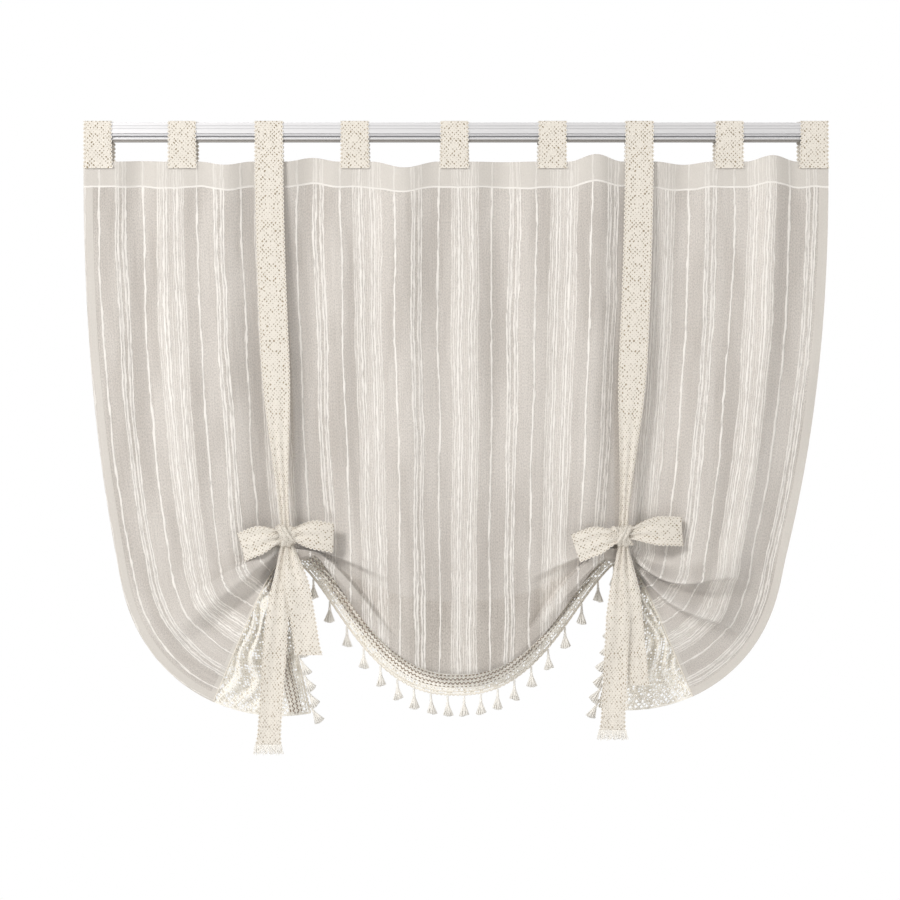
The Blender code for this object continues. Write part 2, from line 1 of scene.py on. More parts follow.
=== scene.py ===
# %% [markdown]
# # A lace tie-up curtain
#
# A sheer striped cotton curtain hangs from a flat aluminium rail by short lace tabs. Two long lace tapes go
# over the rail, down both sides of the cloth and round its hem, and each is tied in a bow. The cloth between
# them hangs as a swag, and a tasselled lace border runs along the hem.
#
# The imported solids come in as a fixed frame. This script dresses them, piece by piece, in the same metres.

import bisect
import math

import bpy
from mathutils import Matrix, Vector, noise


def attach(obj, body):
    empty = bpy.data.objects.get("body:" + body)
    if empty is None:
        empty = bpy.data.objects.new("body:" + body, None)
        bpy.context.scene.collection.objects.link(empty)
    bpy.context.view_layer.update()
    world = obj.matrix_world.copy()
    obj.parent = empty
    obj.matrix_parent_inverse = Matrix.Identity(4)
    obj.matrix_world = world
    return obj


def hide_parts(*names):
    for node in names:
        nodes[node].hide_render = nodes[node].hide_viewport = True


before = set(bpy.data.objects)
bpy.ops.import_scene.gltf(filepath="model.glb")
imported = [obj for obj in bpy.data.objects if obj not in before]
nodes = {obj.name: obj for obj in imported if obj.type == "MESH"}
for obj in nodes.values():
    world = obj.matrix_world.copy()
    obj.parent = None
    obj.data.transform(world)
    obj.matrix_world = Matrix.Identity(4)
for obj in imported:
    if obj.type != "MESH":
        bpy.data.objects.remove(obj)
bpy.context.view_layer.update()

# %% [markdown]
# The sizes below are those of the solids, so that each dressed piece lies where its solid does.

# %% Sizes
RAIL_HEIGHT = 0.036
RAIL_DEPTH = 0.012
HUNG_WIDTH = 1.400
FLAT_WIDTH = 1.600
HEADER_GAP = 0.0365
HEADER_DEPTH = 0.047
SIDE_HEM = 0.020
HEM_DEPTH = 0.012
HANG_Y = -0.006
RIPPLE = 0.016
RIPPLE_LEFT = 0.45
BELLY_FROM = 0.15
TAPE_WIDTH = 0.055
TAPE_THICKNESS = 0.0014
TAB_LAP = 0.013
TAB_SLIDES = (0.0, -0.010, -0.015, -0.022, -0.003, 0.013, 0.008, 0.009, 0.0)
TAB_MARGIN = 0.003
TIED_TABS = (2, 6)
HEADER_RISES = (0.003, -0.008, 0.009, -0.013, 0.001, 0.012, -0.004, 0.010)
TIE_DROP = 0.734
TIE_PULL = 0.034
NECK_HALF = 0.014
NECK_HEIGHT = 0.18
NECK_DEPTH = 0.42
NECK_BUNCH = 0.014
NECK_FORWARD = 0.010
NECK_BACK = 0.046
NECK_FRONT = 0.038
NECK_UNDER = 0.041
NECK_SQUARE = 0.55
NECK_FADE = 0.050
NECK_LIFT = 0.5
FAN_SPREAD = 0.5
EDGE_DRAW_IN = (0.060, 0.078)
SEAM_ANGLE = math.radians(66)
LACE_ANGLE = math.radians(101)
SIDE_BULGE = 0.030
BULGE_POINT = 1.5
EDGE_PULL_BEND = 2.3
NECK_PULL_BEND = 1.6
PULL_REACH = 0.25
SLANT_FADE = 0.25
SWAG_DROP = 0.2287
FOLD_RADIUS = 0.016
SEAM_DROP = 0.100
SEAM_RADIUS = 0.006
SEAM_LEAN = 0.004
LACE_DROP = 0.273
SWAG_FORWARD = 0.022
SWAG_ROUND = 0.042
LACE_ROUND = 0.016
SWAG_SHIFT = 0.010
LACE_SHIFT = 0.004
SWAG_FULL = 2.4
SWAG_FALL = 1.25
PLEAT_DEPTH = 0.026
PLEAT_FIRST = 0.12
PLEAT_PITCH = 0.57
PLEAT_ONSET = (-0.04, 0.14)
PLEAT_FADE = 0.22
PLEAT_REACH = 0.20
PLEAT_PINCH = 0.5
PINCH_REACH = 0.03
PACKED_REACH = 0.11
PACKED_FROM = 0.3
LACE_DEPTH = 0.190
LACE_LAP = 0.006
LACE_BEHIND = 0.0022
BOW_RISE = 0.034
KNOT_FORWARD = 0.046
NECK_TAPE_WIDTH = 0.018
NARROWS_FROM = 0.55
FRONT_CLEAR = 0.003
LOOP_ENDS = (((-0.082, -0.023), (0.088, -0.006)), ((-0.087, -0.025), (0.110, 0.006)))
TAIL_ENDS = (((-0.030, -0.405), (0.044, -0.222)), ((-0.021, -0.378), (0.028, -0.278)))
TAIL_FORWARD = 0.020
TAIL_STEP = 0.004
TASSEL_COUNT = 40
THREAD_LENGTH = 0.012
SKIRT_LENGTH = 0.025
SIDE_TILT = math.radians(30)
TOUCH = 0.0004

RAIL_BOTTOM = -RAIL_HEIGHT / 2
CLOTH_TOP = RAIL_BOTTOM - HEADER_GAP
NECK_Z = CLOTH_TOP - TIE_DROP
TURNED_UP = SWAG_DROP - FOLD_RADIUS - SEAM_DROP
BELOW_NECK = (SWAG_DROP - FOLD_RADIUS) + math.pi * FOLD_RADIUS + TURNED_UP
CLOTH_LENGTH = TIE_DROP + BELOW_NECK
STRAIGHT_END = (SWAG_DROP - FOLD_RADIUS) / BELOW_NECK
BEND_END = STRAIGHT_END + math.pi * FOLD_RADIUS / BELOW_NECK
LACE_END = 1.0 + LACE_DEPTH / BELOW_NECK
FULLNESS = FLAT_WIDTH / HUNG_WIDTH


def step(low, high, value):
    """Smooth rise from 0 at low to 1 at high."""
    part = min(1.0, max(0.0, (value - low) / (high - low)))
    return part * part * (3.0 - 2.0 * part)


def mix(first, second, part):
    return first + (second - first) * part


def tab_centres():
    first = -HUNG_WIDTH / 2 + TAPE_WIDTH / 2
    pitch = (HUNG_WIDTH - TAPE_WIDTH) / (len(TAB_SLIDES) - 1)
    return [first + pitch * number + slide for number, slide in enumerate(TAB_SLIDES)]


TABS = tab_centres()
TAB_CLEAR = TAPE_WIDTH / 2 + TAB_MARGIN
TIE_ACROSS = [(TABS[number] + HUNG_WIDTH / 2) * FULLNESS for number in TIED_TABS]
NECK_X = (TABS[TIED_TABS[0]] + TIE_PULL, TABS[TIED_TABS[1]] - TIE_PULL)
SIDE_RADIUS = [HUNG_WIDTH / 2 - EDGE_DRAW_IN[side] - abs(NECK_X[side]) - NECK_HALF for side in (0, 1)]

# %% [markdown]
# ## The hung cloth as one formula
#
# Cloth keeps its lengths, so a point of the flat sheet (how far across, how far down) has one place in the
# hung curtain. Above the bows the threads run down and draw in a little. Beside each bow the cloth swings
# round the neck like a fan. Between the bows it hangs as a swag and its hem turns under. A cloth simulation
# could find such a shape too, but a formula puts each fold where it is wanted.

# %% The drape


def header_x(across):
    return across / FULLNESS - HUNG_WIDTH / 2


def bay_of(x):
    number = bisect.bisect_right(TABS, x) - 1
    if number < 0 or number >= len(TABS) - 1:
        return 0, 0.0
    start = TABS[number] + TAB_CLEAR
    end = TABS[number + 1] - TAB_CLEAR
    return number, min(1.0, max(0.0, (x - start) / (end - start)))


def header_rise(x):
    number, part = bay_of(x)
    return HEADER_RISES[number] * math.sin(math.pi * part) ** 2


def ripple(x):
    number, part = bay_of(x)
    side = -1.0 if number % 2 else 1.0
    return side * RIPPLE * math.sin(math.pi * part) ** 2


def level_place(across):
    """Where a thread crosses neck height: (x, distance from the nearer neck, side, share of the swag)."""
    if across <= TIE_ACROSS[0]:
        away = (1.0 - across / TIE_ACROSS[0]) * (SIDE_RADIUS[0] + NECK_HALF)
        return NECK_X[0] - away, away, -1, 0.0
    if across >= TIE_ACROSS[1]:
        share = (across - TIE_ACROSS[1]) / (FLAT_WIDTH - TIE_ACROSS[1])
        away = share * (SIDE_RADIUS[1] + NECK_HALF)
        return NECK_X[1] + away, away, 1, 1.0
    share = (across - TIE_ACROSS[0]) / (TIE_ACROSS[1] - TIE_ACROSS[0])
    x = mix(NECK_X[0], NECK_X[1], share)
    return x, min(x - NECK_X[0], NECK_X[1] - x), 0, share


def pull_bend(away, side):
    return mix(NECK_PULL_BEND, EDGE_PULL_BEND, step(0.0, PULL_REACH, away) if side else 0.0)


def forward(across):
    away, side, share = level_place(across)[1:]
    if side == 0:
        return SWAG_FORWARD * math.sin(math.pi * share)
    reach = SIDE_RADIUS[0 if side < 0 else 1]
    return SIDE_BULGE * math.sin(math.pi * min(1.0, away / reach)) ** BULGE_POINT


def neck_share(away):
    return math.exp(-((away / NECK_FADE) ** 2))


def swag_curve(x, down):
    turned = step(BEND_END, LACE_END, down)
    half = (NECK_X[1] - NECK_X[0]) / 2 - mix(SWAG_ROUND, LACE_ROUND, turned)
    middle = (NECK_X[0] + NECK_X[1]) / 2 + mix(SWAG_SHIFT, LACE_SHIFT, turned)
    part = min(1.0, abs(x - middle) / half)
    return (1.0 - part**SWAG_FULL) ** SWAG_FALL


def turned_profile(down):
    """The cloth's path at the middle of the swag, as (back, below)."""
    back = 2.0 * FOLD_RADIUS
    if down <= STRAIGHT_END:
        return 0.0, down * BELOW_NECK
    if down <= BEND_END:
        turn = math.pi * (down - STRAIGHT_END) / (BEND_END - STRAIGHT_END)
        return FOLD_RADIUS * (1.0 - math.cos(turn)), SWAG_DROP - FOLD_RADIUS * (1.0 - math.sin(turn))
    if down <= 1.0:
        part = (down - BEND_END) / (1.0 - BEND_END)
        return back + SEAM_LEAN * part, SWAG_DROP - FOLD_RADIUS - TURNED_UP * part
    turned = (down - 1.0) * BELOW_NECK
    if turned <= math.pi * SEAM_RADIUS:
        turn = turned / SEAM_RADIUS
        back += SEAM_LEAN + SEAM_RADIUS * (1.0 - math.cos(turn))
        return back, SEAM_DROP - SEAM_RADIUS * math.sin(turn)
    part = (turned - math.pi * SEAM_RADIUS) / (LACE_DEPTH - math.pi * SEAM_RADIUS)
    return back + SEAM_LEAN + 2.0 * SEAM_RADIUS, mix(SEAM_DROP, LACE_DROP, part)


def plain_pleat(down, away, reach):
    """The even pleats of the solid."""
    wave = 0.5 - 0.5 * math.cos(2.0 * math.pi * (down - PLEAT_FIRST) / PLEAT_PITCH)
    part = min(1.0, away / reach)
    pinched = PLEAT_PINCH * math.exp(-((away / PINCH_REACH) ** 2))
    return wave * step(*PLEAT_ONSET, down) * PLEAT_DEPTH * (1.0 - part * part) * (1.0 - pinched)


# %% [markdown]
# The solid has plain, even pleats. The real folds are livelier: on the left a broad round ridge sweeps out of
# the bow, on the right two lips of cloth hang over, and the swag has a wedge-shaped hollow beside each bow.

# %% The folds
FAN_FOLD = 0.036
LIP_FALL = 0.035
FAN_SWELL = 0.012
SWAG_HOLLOW = 0.019
SWAG_SWELL = 0.014
SWAG_LIFT = 0.010
SWAG_FOLD_START = 0.05
SWAG_FOLD_REACH = (0.215, 0.19)


def lip(down, line, run, fall):
    """Swells slowly down to a line and falls away sharply below it."""
    return step(line - run, line, down) * (1.0 - step(line, line + fall, down))


def left_fan_folds(away, down):
    """One broad round ridge, whose upper and lower lines come together away from the bow."""
    out = min(1.0, away / 0.28)
    upper = mix(0.08, 0.42, out**0.8)
    lower = mix(0.98, 0.68, out**0.8)
    middle = (upper + lower) / 2
    if down < middle:
        ridge = mix(step(upper, middle, down), step(upper - 0.01, upper + 0.07, down), 0.6)
    else:
        ridge = 1.0 - step(middle, lower, down) + step(lower, lower + 0.36, down) * 0.8
    depth = FAN_FOLD * (1.0 - out**3) * (1.0 - 0.4 * math.exp(-((away / PINCH_REACH) ** 2)))
    return depth * ridge


def right_fan_folds(away, down):
    """Two lips, one below the other, and a swell under them."""
    first = mix(0.72, 0.20, step(0.03, 0.22, away))
    second = mix(0.90, 0.55, step(0.05, 0.26, away))
    depth = FAN_FOLD * (1.0 - step(0.17, 0.27, away)) * step(0.0, 0.05, away)
    depth_two = FAN_FOLD * (1.0 - step(0.20, 0.30, away)) * step(0.0, 0.06, away)
    folds = depth * lip(down, first, 0.34, LIP_FALL) + depth_two * lip(down, second, 0.28, LIP_FALL)
    return folds + FAN_SWELL * step(second, 1.1, down) * (1.0 - min(1.0, away / 0.3) ** 2)


def swag_folds(away, down, left):
    """A wedge-shaped hollow that runs out from the bow, and a swell under it."""
    reach = SWAG_FOLD_REACH[0 if left else 1]
    out = min(1.0, max(0.0, (away - SWAG_FOLD_START) / (reach - SWAG_FOLD_START)))
    top = mix(0.06, 0.17, out)
    line = mix(0.16, 0.52, out**0.9)
    crease = step(line, line + 0.020, down)
    depth = SWAG_HOLLOW * (1.0 - step(0.55, 1.0, out)) * step(0.0, 0.07, away)
    hollow = mix(step(top, line, down), step(top, top + 0.06, down), 0.6) * (1.0 - crease)
    swell = SWAG_SWELL * crease * (1.0 - step(STRAIGHT_END - 0.1, STRAIGHT_END + 0.05, down))
    swell *= 1.0 - step(0.5, 1.0, out)
    return swell + SWAG_LIFT * (1.0 - out) * step(-0.04, 0.1, down) - depth * hollow


def shown_folds(side, x, away, down):
    if side == 0:
        return swag_folds(away, down, x < 0.0)
    return left_fan_folds(away, down) if side < 0 else right_fan_folds(away, down)


def soft_folds(across, length):
    """Faint long waves of the thin cloth."""
    share = min(1.0, length / TIE_DROP)
    wander = noise.noise(Vector((across * 9.0, length * 1.3, 3.0)))
    small = noise.noise(Vector((across * 30.0, length * 2.0, 8.0)))
    return (0.0045 * wander + 0.0026 * small) * step(0.0, 0.2, share)


def drape(across, length, soft=1.0):
    """Point of the hung cloth, from its flat place: across from the left edge, length down from the top."""
    x_level, away, side = level_place(across)[:3]
    x_top = header_x(across)
    wave = ripple(x_top)
    near = neck_share(away)
    lift = NECK_LIFT * NECK_HEIGHT * SWAG_DROP * near
    faint = soft * soft_folds(across, length) * (1.0 - near)
    if length < TIE_DROP:
        part = length / TIE_DROP
        x = mix(x_top, x_level, part ** pull_bend(away, side))
        z = CLOTH_TOP + header_rise(x_top) * (1.0 - part) ** 2 - length
        z += lift * part**6
        y = HANG_Y + wave * mix(1.0, RIPPLE_LEFT, part)
        y -= forward(across) * step(BELLY_FROM, 1.0, part)
        y -= NECK_FORWARD * near * part**8
        y += faint
        y -= shown_folds(side, x_level, away, (part - 1.0) * TIE_DROP / BELOW_NECK)
        return Vector((x, y, z))
    down = (length - TIE_DROP) / BELOW_NECK
    back, below = turned_profile(down)
    folds = shown_folds(side, x_level, away, down)
    own = 1.0 - step(1.0, mix(1.0, LACE_END, 0.9), down)
    y = HANG_Y + wave * RIPPLE_LEFT * (1.0 - step(0.0, 0.5, down)) - forward(across)
    y += near * (NECK_DEPTH * back + NECK_BUNCH * down * down - NECK_FORWARD)
    if side == 0:
        curve = swag_curve(x_level, down)
        front = 1.0 - step(STRAIGHT_END - PLEAT_FADE, STRAIGHT_END, down)
        plain = plain_pleat(down, away, PLEAT_REACH) * front
        folds *= 1.0 - step(STRAIGHT_END, BEND_END, down)
        y -= mix(plain, folds, own)
        y += back * curve + faint * (1.0 - step(0.2, STRAIGHT_END, down))
        z = NECK_Z + lift - below * (curve + NECK_HEIGHT * near)
        return Vector((x_level, y, z))
    reach = SIDE_RADIUS[0 if side < 0 else 1]
    turn = SEAM_ANGLE * down
    if down > 1.0:
        turn = mix(SEAM_ANGLE, LACE_ANGLE, (down - 1.0) / (LACE_END - 1.0))
    radius = max(0.0, away - NECK_HALF)
    slant = pull_bend(away, side) * side * (x_top - x_level) / TIE_DROP
    radius *= 1.0 - slant * turn * math.exp(-turn / SLANT_FADE)
    x = NECK_X[0 if side < 0 else 1] + side * (min(away, NECK_HALF) + radius * math.cos(turn))
    packed = math.exp(-((away / PACKED_REACH) ** 2)) * step(PACKED_FROM, STRAIGHT_END, down)
    plain = plain_pleat(down, away, reach) * (1.0 - packed)
    folds *= 1.0 - 0.8 * math.exp(-((away / 0.07) ** 2)) * step(PACKED_FROM, 1.0, down)
    y -= mix(plain, folds, own)
    y += faint * (1.0 - step(0.3, 1.0, down))
    folded = 1.0 - step(0.0, NECK_HALF, away)
    spread = NECK_HEIGHT * mix(SWAG_DROP * down / STRAIGHT_END * FAN_SPREAD, below, folded)
    z = NECK_Z + lift - spread * near - radius * math.sin(turn)
    return Vector((x, y, z))


# %% [markdown]
# ## Helpers for sheets and ribbons
#
# A sheet starts as Blender's grid, cut fine enough for its folds. Each of its points is then moved to its
# hung place. The UV map keeps the flat place in metres, so a weave or a lace pattern lies on the cloth as it
# was made, and follows every fold.

# %% Sheet helper


def select(*items):
    """Selects these only, the first of them active."""
    for item in list(bpy.context.selected_objects):
        item.select_set(False)
    for item in items:
        item.select_set(True)
    if items:
        bpy.context.view_layer.objects.active = items[0]


def add_object(name, data):
    made = bpy.data.objects.new(name, data)
    bpy.context.scene.collection.objects.link(made)
    return made


def grid_sheet(name, columns, rows, point, flat):
    """A grid with a line at each of columns and rows. point gives its place, and flat its place in the pattern."""
    select()
    bpy.ops.mesh.primitive_grid_add(x_subdivisions=len(columns) - 1, y_subdivisions=len(rows) - 1, size=1.0)
    sheet = bpy.context.active_object
    sheet.name = name
    sheet.data.name = name
    wide, high = len(columns) - 1, len(rows) - 1
    flats = []
    for vertex in sheet.data.vertices:
        column = round((vertex.co.x + 0.5) * wide)
        row = round((0.5 - vertex.co.y) * high)
        flats.append(flat(columns[column], rows[row]))
        vertex.co = point(columns[column], rows[row])
    layer = sheet.data.uv_layers.active
    layer.name = "Flat"
    for loop in sheet.data.loops:
        layer.data[loop.index].uv = flats[loop.vertex_index]
    sheet.data.shade_smooth()
    return sheet


def even(low, high, count):
    return [mix(low, high, number / count) for number in range(count + 1)]


def lengths_along(points, start=0.0):
    """The length along a line of points, up to each of them."""
    lengths = [start]
    for first, second in zip(points, points[1:]):
        lengths.append(lengths[-1] + (second - first).length)
    return lengths


def show_area(sheet, flat_area):
    area = sum(face.area for face in sheet.data.polygons)
    print(sheet.name, len(sheet.data.vertices), "points,", round(area / flat_area, 3), "of its flat area")


def dress(piece, material, slot, *replaced):
    piece.data.materials.clear()
    piece.data.materials.append(material)
    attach(piece, "root")
    if replaced:
        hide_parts(*replaced)
    return piece


# %% [markdown]
# ## Materials from nodes
#
# Small helpers wire the maths nodes, so that a pattern can be written as a sum. Everything that is drawn on a
# surface is worked out from its flat place in metres.

# %% Node helpers


def by_node(operation):
    """A method that joins a value and another number by one maths node."""
    return lambda self, other: self.wiring.math(operation, self, other)


class Value:
    """A number in a material that changes over the surface. Each sum with it adds a maths node."""

    def __init__(self, wiring, socket):
        self.wiring = wiring
        self.socket = socket

    __add__ = by_node("ADD")
    __sub__ = by_node("SUBTRACT")
    __mul__ = by_node("MULTIPLY")
    __truediv__ = by_node("DIVIDE")
    __mod__ = by_node("FLOORED_MODULO")
    __pow__ = by_node("POWER")

    def __rsub__(self, other):
        return self.wiring.math("SUBTRACT", other, self)

    def __abs__(self):
        return self.wiring.math("ABSOLUTE", self)

    def __floor__(self):
        return self.wiring.math("FLOOR", self)


class Wiring:
    """Adds nodes to one material."""

    def __init__(self, name):
        self.material = bpy.data.materials.new(name)
        self.material.use_nodes = True
        self.nodes = self.material.node_tree.nodes
        self.links = self.material.node_tree.links
        self.shader = self.nodes["Principled BSDF"]

    def plug(self, value, socket):
        if isinstance(value, Value):
            self.links.new(value.socket, socket)
        else:
            socket.default_value = value

    def node(self, kind, inputs, output=0, **settings):
        """Adds a node and returns one of its outputs. inputs are pairs of a socket's name or place and its value."""
        made = self.nodes.new(kind)
        for name, setting in settings.items():
            setattr(made, name, setting)
        for socket, value in inputs:
            self.plug(value, made.inputs[socket])
        return Value(self, made.outputs[output])

    def math(self, operation, *values):
        return self.node("ShaderNodeMath", enumerate(values), operation=operation)

    def most(self, first, second):
        return self.math("MAXIMUM", first, second)

    def least(self, first, second):
        return self.math("MINIMUM", first, second)

    def repeat(self, value, pitch):
        """The share of the way through each repeat, from -0.5 to 0.5."""
        return self.math("FRACT", value / pitch) - 0.5

    def ring(self, x, half_width, y, half_height):
        """The distance from the middle, which is 1 on an ellipse's edge."""
        return self.math("SQRT", abs(x / half_width) ** 2.0 + abs(y / half_height) ** 2.0)

    def rise(self, value, low, high):
        """Smooth 0 to 1 between low and high."""
        inputs = (("Value", value), ("From Min", low), ("From Max", high))
        return self.node("ShaderNodeMapRange", inputs, interpolation_type="SMOOTHSTEP")

    def fall(self, value, low, high):
        """Smooth 1 to 0 between low and high."""
        return 1.0 - self.rise(value, low, high)

    def blend(self, share, first, second):
        return self.node("ShaderNodeMix", ((0, share), (2, first), (3, second)), data_type="FLOAT")

    def colours(self, share, first, second):
        return self.node("ShaderNodeMix", ((0, share), (6, first), (7, second)), 2, data_type="RGBA")

    def split(self, value):
        node = self.nodes.new("ShaderNodeSeparateXYZ")
        self.plug(value, node.inputs[0])
        return [Value(self, socket) for socket in node.outputs]

    def flat_place(self):
        """The flat place in metres, as two values."""
        return self.split(self.node("ShaderNodeUVMap", (), uv_map="Flat"))[:2]

    def object_place(self):
        return self.node("ShaderNodeTexCoord", (), "Object")

    def join(self, x, y, z=0.0):
        return self.node("ShaderNodeCombineXYZ", enumerate((x, y, z)))

    def noise(self, place, scale, detail=2.0, roughness=0.5):
        inputs = (("Vector", place), ("Scale", scale), ("Detail", detail), ("Roughness", roughness))
        return self.node("ShaderNodeTexNoise", inputs, "Fac")

    def cells(self, place, randomness):
        """Distance from the nearest of some points, one to each unit square, and a tint for each point."""
        inputs = (("Vector", place), ("Scale", 1.0), ("Randomness", randomness))
        distance = self.node("ShaderNodeTexVoronoi", inputs, "Distance", voronoi_dimensions="2D")
        return distance, Value(self, distance.socket.node.outputs["Color"])

    def bump(self, height, distance, strength=1.0):
        inputs = (("Height", height), ("Distance", distance), ("Strength", strength))
        self.links.new(self.node("ShaderNodeBump", inputs).socket, self.shader.inputs["Normal"])

    def surface(self, **looks):
        """Sets the shader's inputs, and gives the material back."""
        for name, look in looks.items():
            self.plug(look, self.shader.inputs[SHADER_INPUTS[name]])
        return self.material


SHADER_INPUTS = {
    "colour": "Base Color",
    "alpha": "Alpha",
    "roughness": "Roughness",
    "specular": "Specular IOR Level",
    "sheen": "Sheen Weight",
    "metallic": "Metallic",
}


def shade(red, green, blue):
    """A colour written as it looks on a screen, 0 to 255, as linear light."""
    linear = []
    for value in (red, green, blue):
        part = value / 255
        linear.append(part / 12.92 if part <= 0.04045 else ((part + 0.055) / 1.055) ** 2.4)
    return (*linear, 1.0)


# %% [markdown]
# ### Sheer striped cotton
#
# The ground is a fine open gauze with tiny gaps between its threads. Thick slubby yarns are woven in as
# stripes: a group of nine, a single one, a group of four, a single one, and again. The pattern is the same to
# both sides of each group, so one distance from the group's middle is enough to draw it.

# %% Sheer cotton
STRIPE_PERIOD = 0.2119
STRIPE_START = 0.1848
# of each yarn: its distance from the middle of the group, half its width, and how bright it is
YARNS = (
    (0.0, 0.0008, 0.6),
    (0.0046, 0.0007, 0.55),
    (0.0086, 0.0015, 0.95),
    (0.0149, 0.0019, 1.0),
    (0.0192, 0.0008, 0.6),
    (0.0234, 0.0011, 0.8),
    (0.0288, 0.0010, 0.8),
    (0.0589, 0.0018, 1.0),
    (0.0955, 0.0015, 0.95),
    (0.0992, 0.0008, 0.6),
    (0.1017, 0.0014, 0.9),
)
GROUP_HALF = 0.030
HEADER_WANDER = 0.016
FOLD_EDGE = 0.0006
HEM_EDGE = 0.0005
OPEN_SHARE = 0.22


def sheer_cotton():
    w = Wiring("sheer_cotton")
    across, down = w.flat_place()

    # yarns, which sway a little and are thick and thin by turns
    slow = w.noise(w.join(across, down * 0.35), 14.0, 1.0)
    quick = w.noise(w.join(across * 3.0, down * 0.5), 55.0, 1.0)
    moved = across + ((slow - 0.5) * 0.014 + (quick - 0.5) * 0.0052)
    from_group = abs(w.repeat(moved - (STRIPE_START - STRIPE_PERIOD / 2), STRIPE_PERIOD)) * STRIPE_PERIOD
    slub = w.noise(w.join(across * 6.0, down * 0.40), 110.0, 2.0)
    yarn = 0.0
    for middle, half, weight in YARNS:
        width = (slub * 3.4 - 0.60) * half
        thread = w.fall(abs(from_group - middle), width * 0.55, width * 1.45)
        yarn = w.most(yarn, thread * weight)
    dense = w.fall(from_group, GROUP_HALF - 0.003, GROUP_HALF + 0.003)

    # where the cloth lies double: the header, whose stitched line wanders, and the hems
    wave = w.noise(w.join(across, 0.0), 9.0, 2.0)
    sewn = (wave - 0.5) * HEADER_WANDER + HEADER_DEPTH
    header = w.rise(sewn - down, -FOLD_EDGE, FOLD_EDGE)
    side_hem = w.fall(w.least(across, FLAT_WIDTH - across), SIDE_HEM - FOLD_EDGE, SIDE_HEM + FOLD_EDGE)
    hem_line = CLOTH_LENGTH - HEM_DEPTH
    low_hem = w.rise(down, hem_line - HEM_EDGE, hem_line + HEM_EDGE)
    double = w.most(header, w.most(side_hem, low_hem))
    ridge = w.fall(abs(down - (sewn + slub * 0.0012)), 0.0010, 0.0028)
    cover = w.most(yarn * (1.0 - header * 0.55), ridge)

    # the gauze
    grain = w.noise(w.join(across, down), 900.0, 1.0)
    gauze = w.noise(w.join(across, down * 0.60), 430.0, 3.0, 0.7)
    streak = w.noise(w.join(across * 6.0, down * 0.10), 80.0, 3.0, 0.6)
    cloud = w.noise(w.join(across, down * 0.25), 13.0, 2.0)
    fine = w.rise(gauze, 0.30, 0.70) * 0.36 + w.rise(streak, 0.25, 0.75) * 0.30 + w.rise(cloud, 0.35, 0.65) * 0.34
    ground = w.colours(fine, shade(166, 158, 150), shade(215, 209, 202))
    ground = w.colours(dense * 0.45, ground, shade(224, 217, 209))
    ground = w.colours(double * 0.75, ground, shade(211, 206, 199))
    slub_colour = w.colours(grain, shade(228, 222, 215), shade(248, 245, 240))
    gaps = w.fall(gauze, 0.30, 0.60) * OPEN_SHARE * (1.0 - w.most(cover, double * 0.8))
    w.bump(cover * 0.9 + gauze * 0.35 + double * 0.5, 0.0010, 0.9)
    colour = w.colours(cover, ground, slub_colour)
    return w.surface(colour=colour, alpha=1.0 - gaps, roughness=0.92, specular=0.15, sheen=0.1)


# %% [markdown]
# ### Cotton lace
#
# Lace is drawn as its holes, with a raised thread between them. The tapes have small leaning holes in staggered
# rows, fewer of them on close-worked diamonds. The border has bands of net and of larger holes.

# %% Lace


def lace_finish(w, thread, relief, dark, light, painted_hole_shade, see_through, within=None):
    """Ends a lace material: thread is 0 in a hole and 1 on a thread. A hole is painted a darker colour, as painted
    shade of the shaded threads round it.
    """
    across, down = w.flat_place()
    fuzz = w.noise(w.join(across, down), 1100.0, 2.0)
    # inside a hole the colour is painted shade, not the threads' own tone
    colour = w.colours(w.rise(thread, 0.3, 0.9), painted_hole_shade, w.colours(fuzz, dark, light))
    alpha = 1.0 - w.fall(thread, 0.25, 0.6) * see_through
    if within is not None:
        alpha = alpha * within
    w.bump(relief * 0.8 + fuzz * 0.35, 0.0010, 0.8)
    return w.surface(colour=colour, alpha=alpha, roughness=0.95, specular=0.1, sheen=0.1)


# %% Tape lace
ROW_PITCH = 0.0039
HOLE_PITCH = 0.0074
HOLE_LEAN = 0.30
HOLE_HALF_WIDTH = 0.00105
HOLE_HALF_HEIGHT = 0.00150
DIAMOND_PITCH = 0.0275
DIAMOND_HALF_WIDTH = 0.017
LOOP_PITCH = 0.0078
LOOP_MIDDLE = 0.0240
LOOP_HALF_WIDTH = 0.0011
LOOP_HALF_HEIGHT = 0.0019
TAPE_EDGE = 0.0276
TAPE_SCALLOP = 0.0032


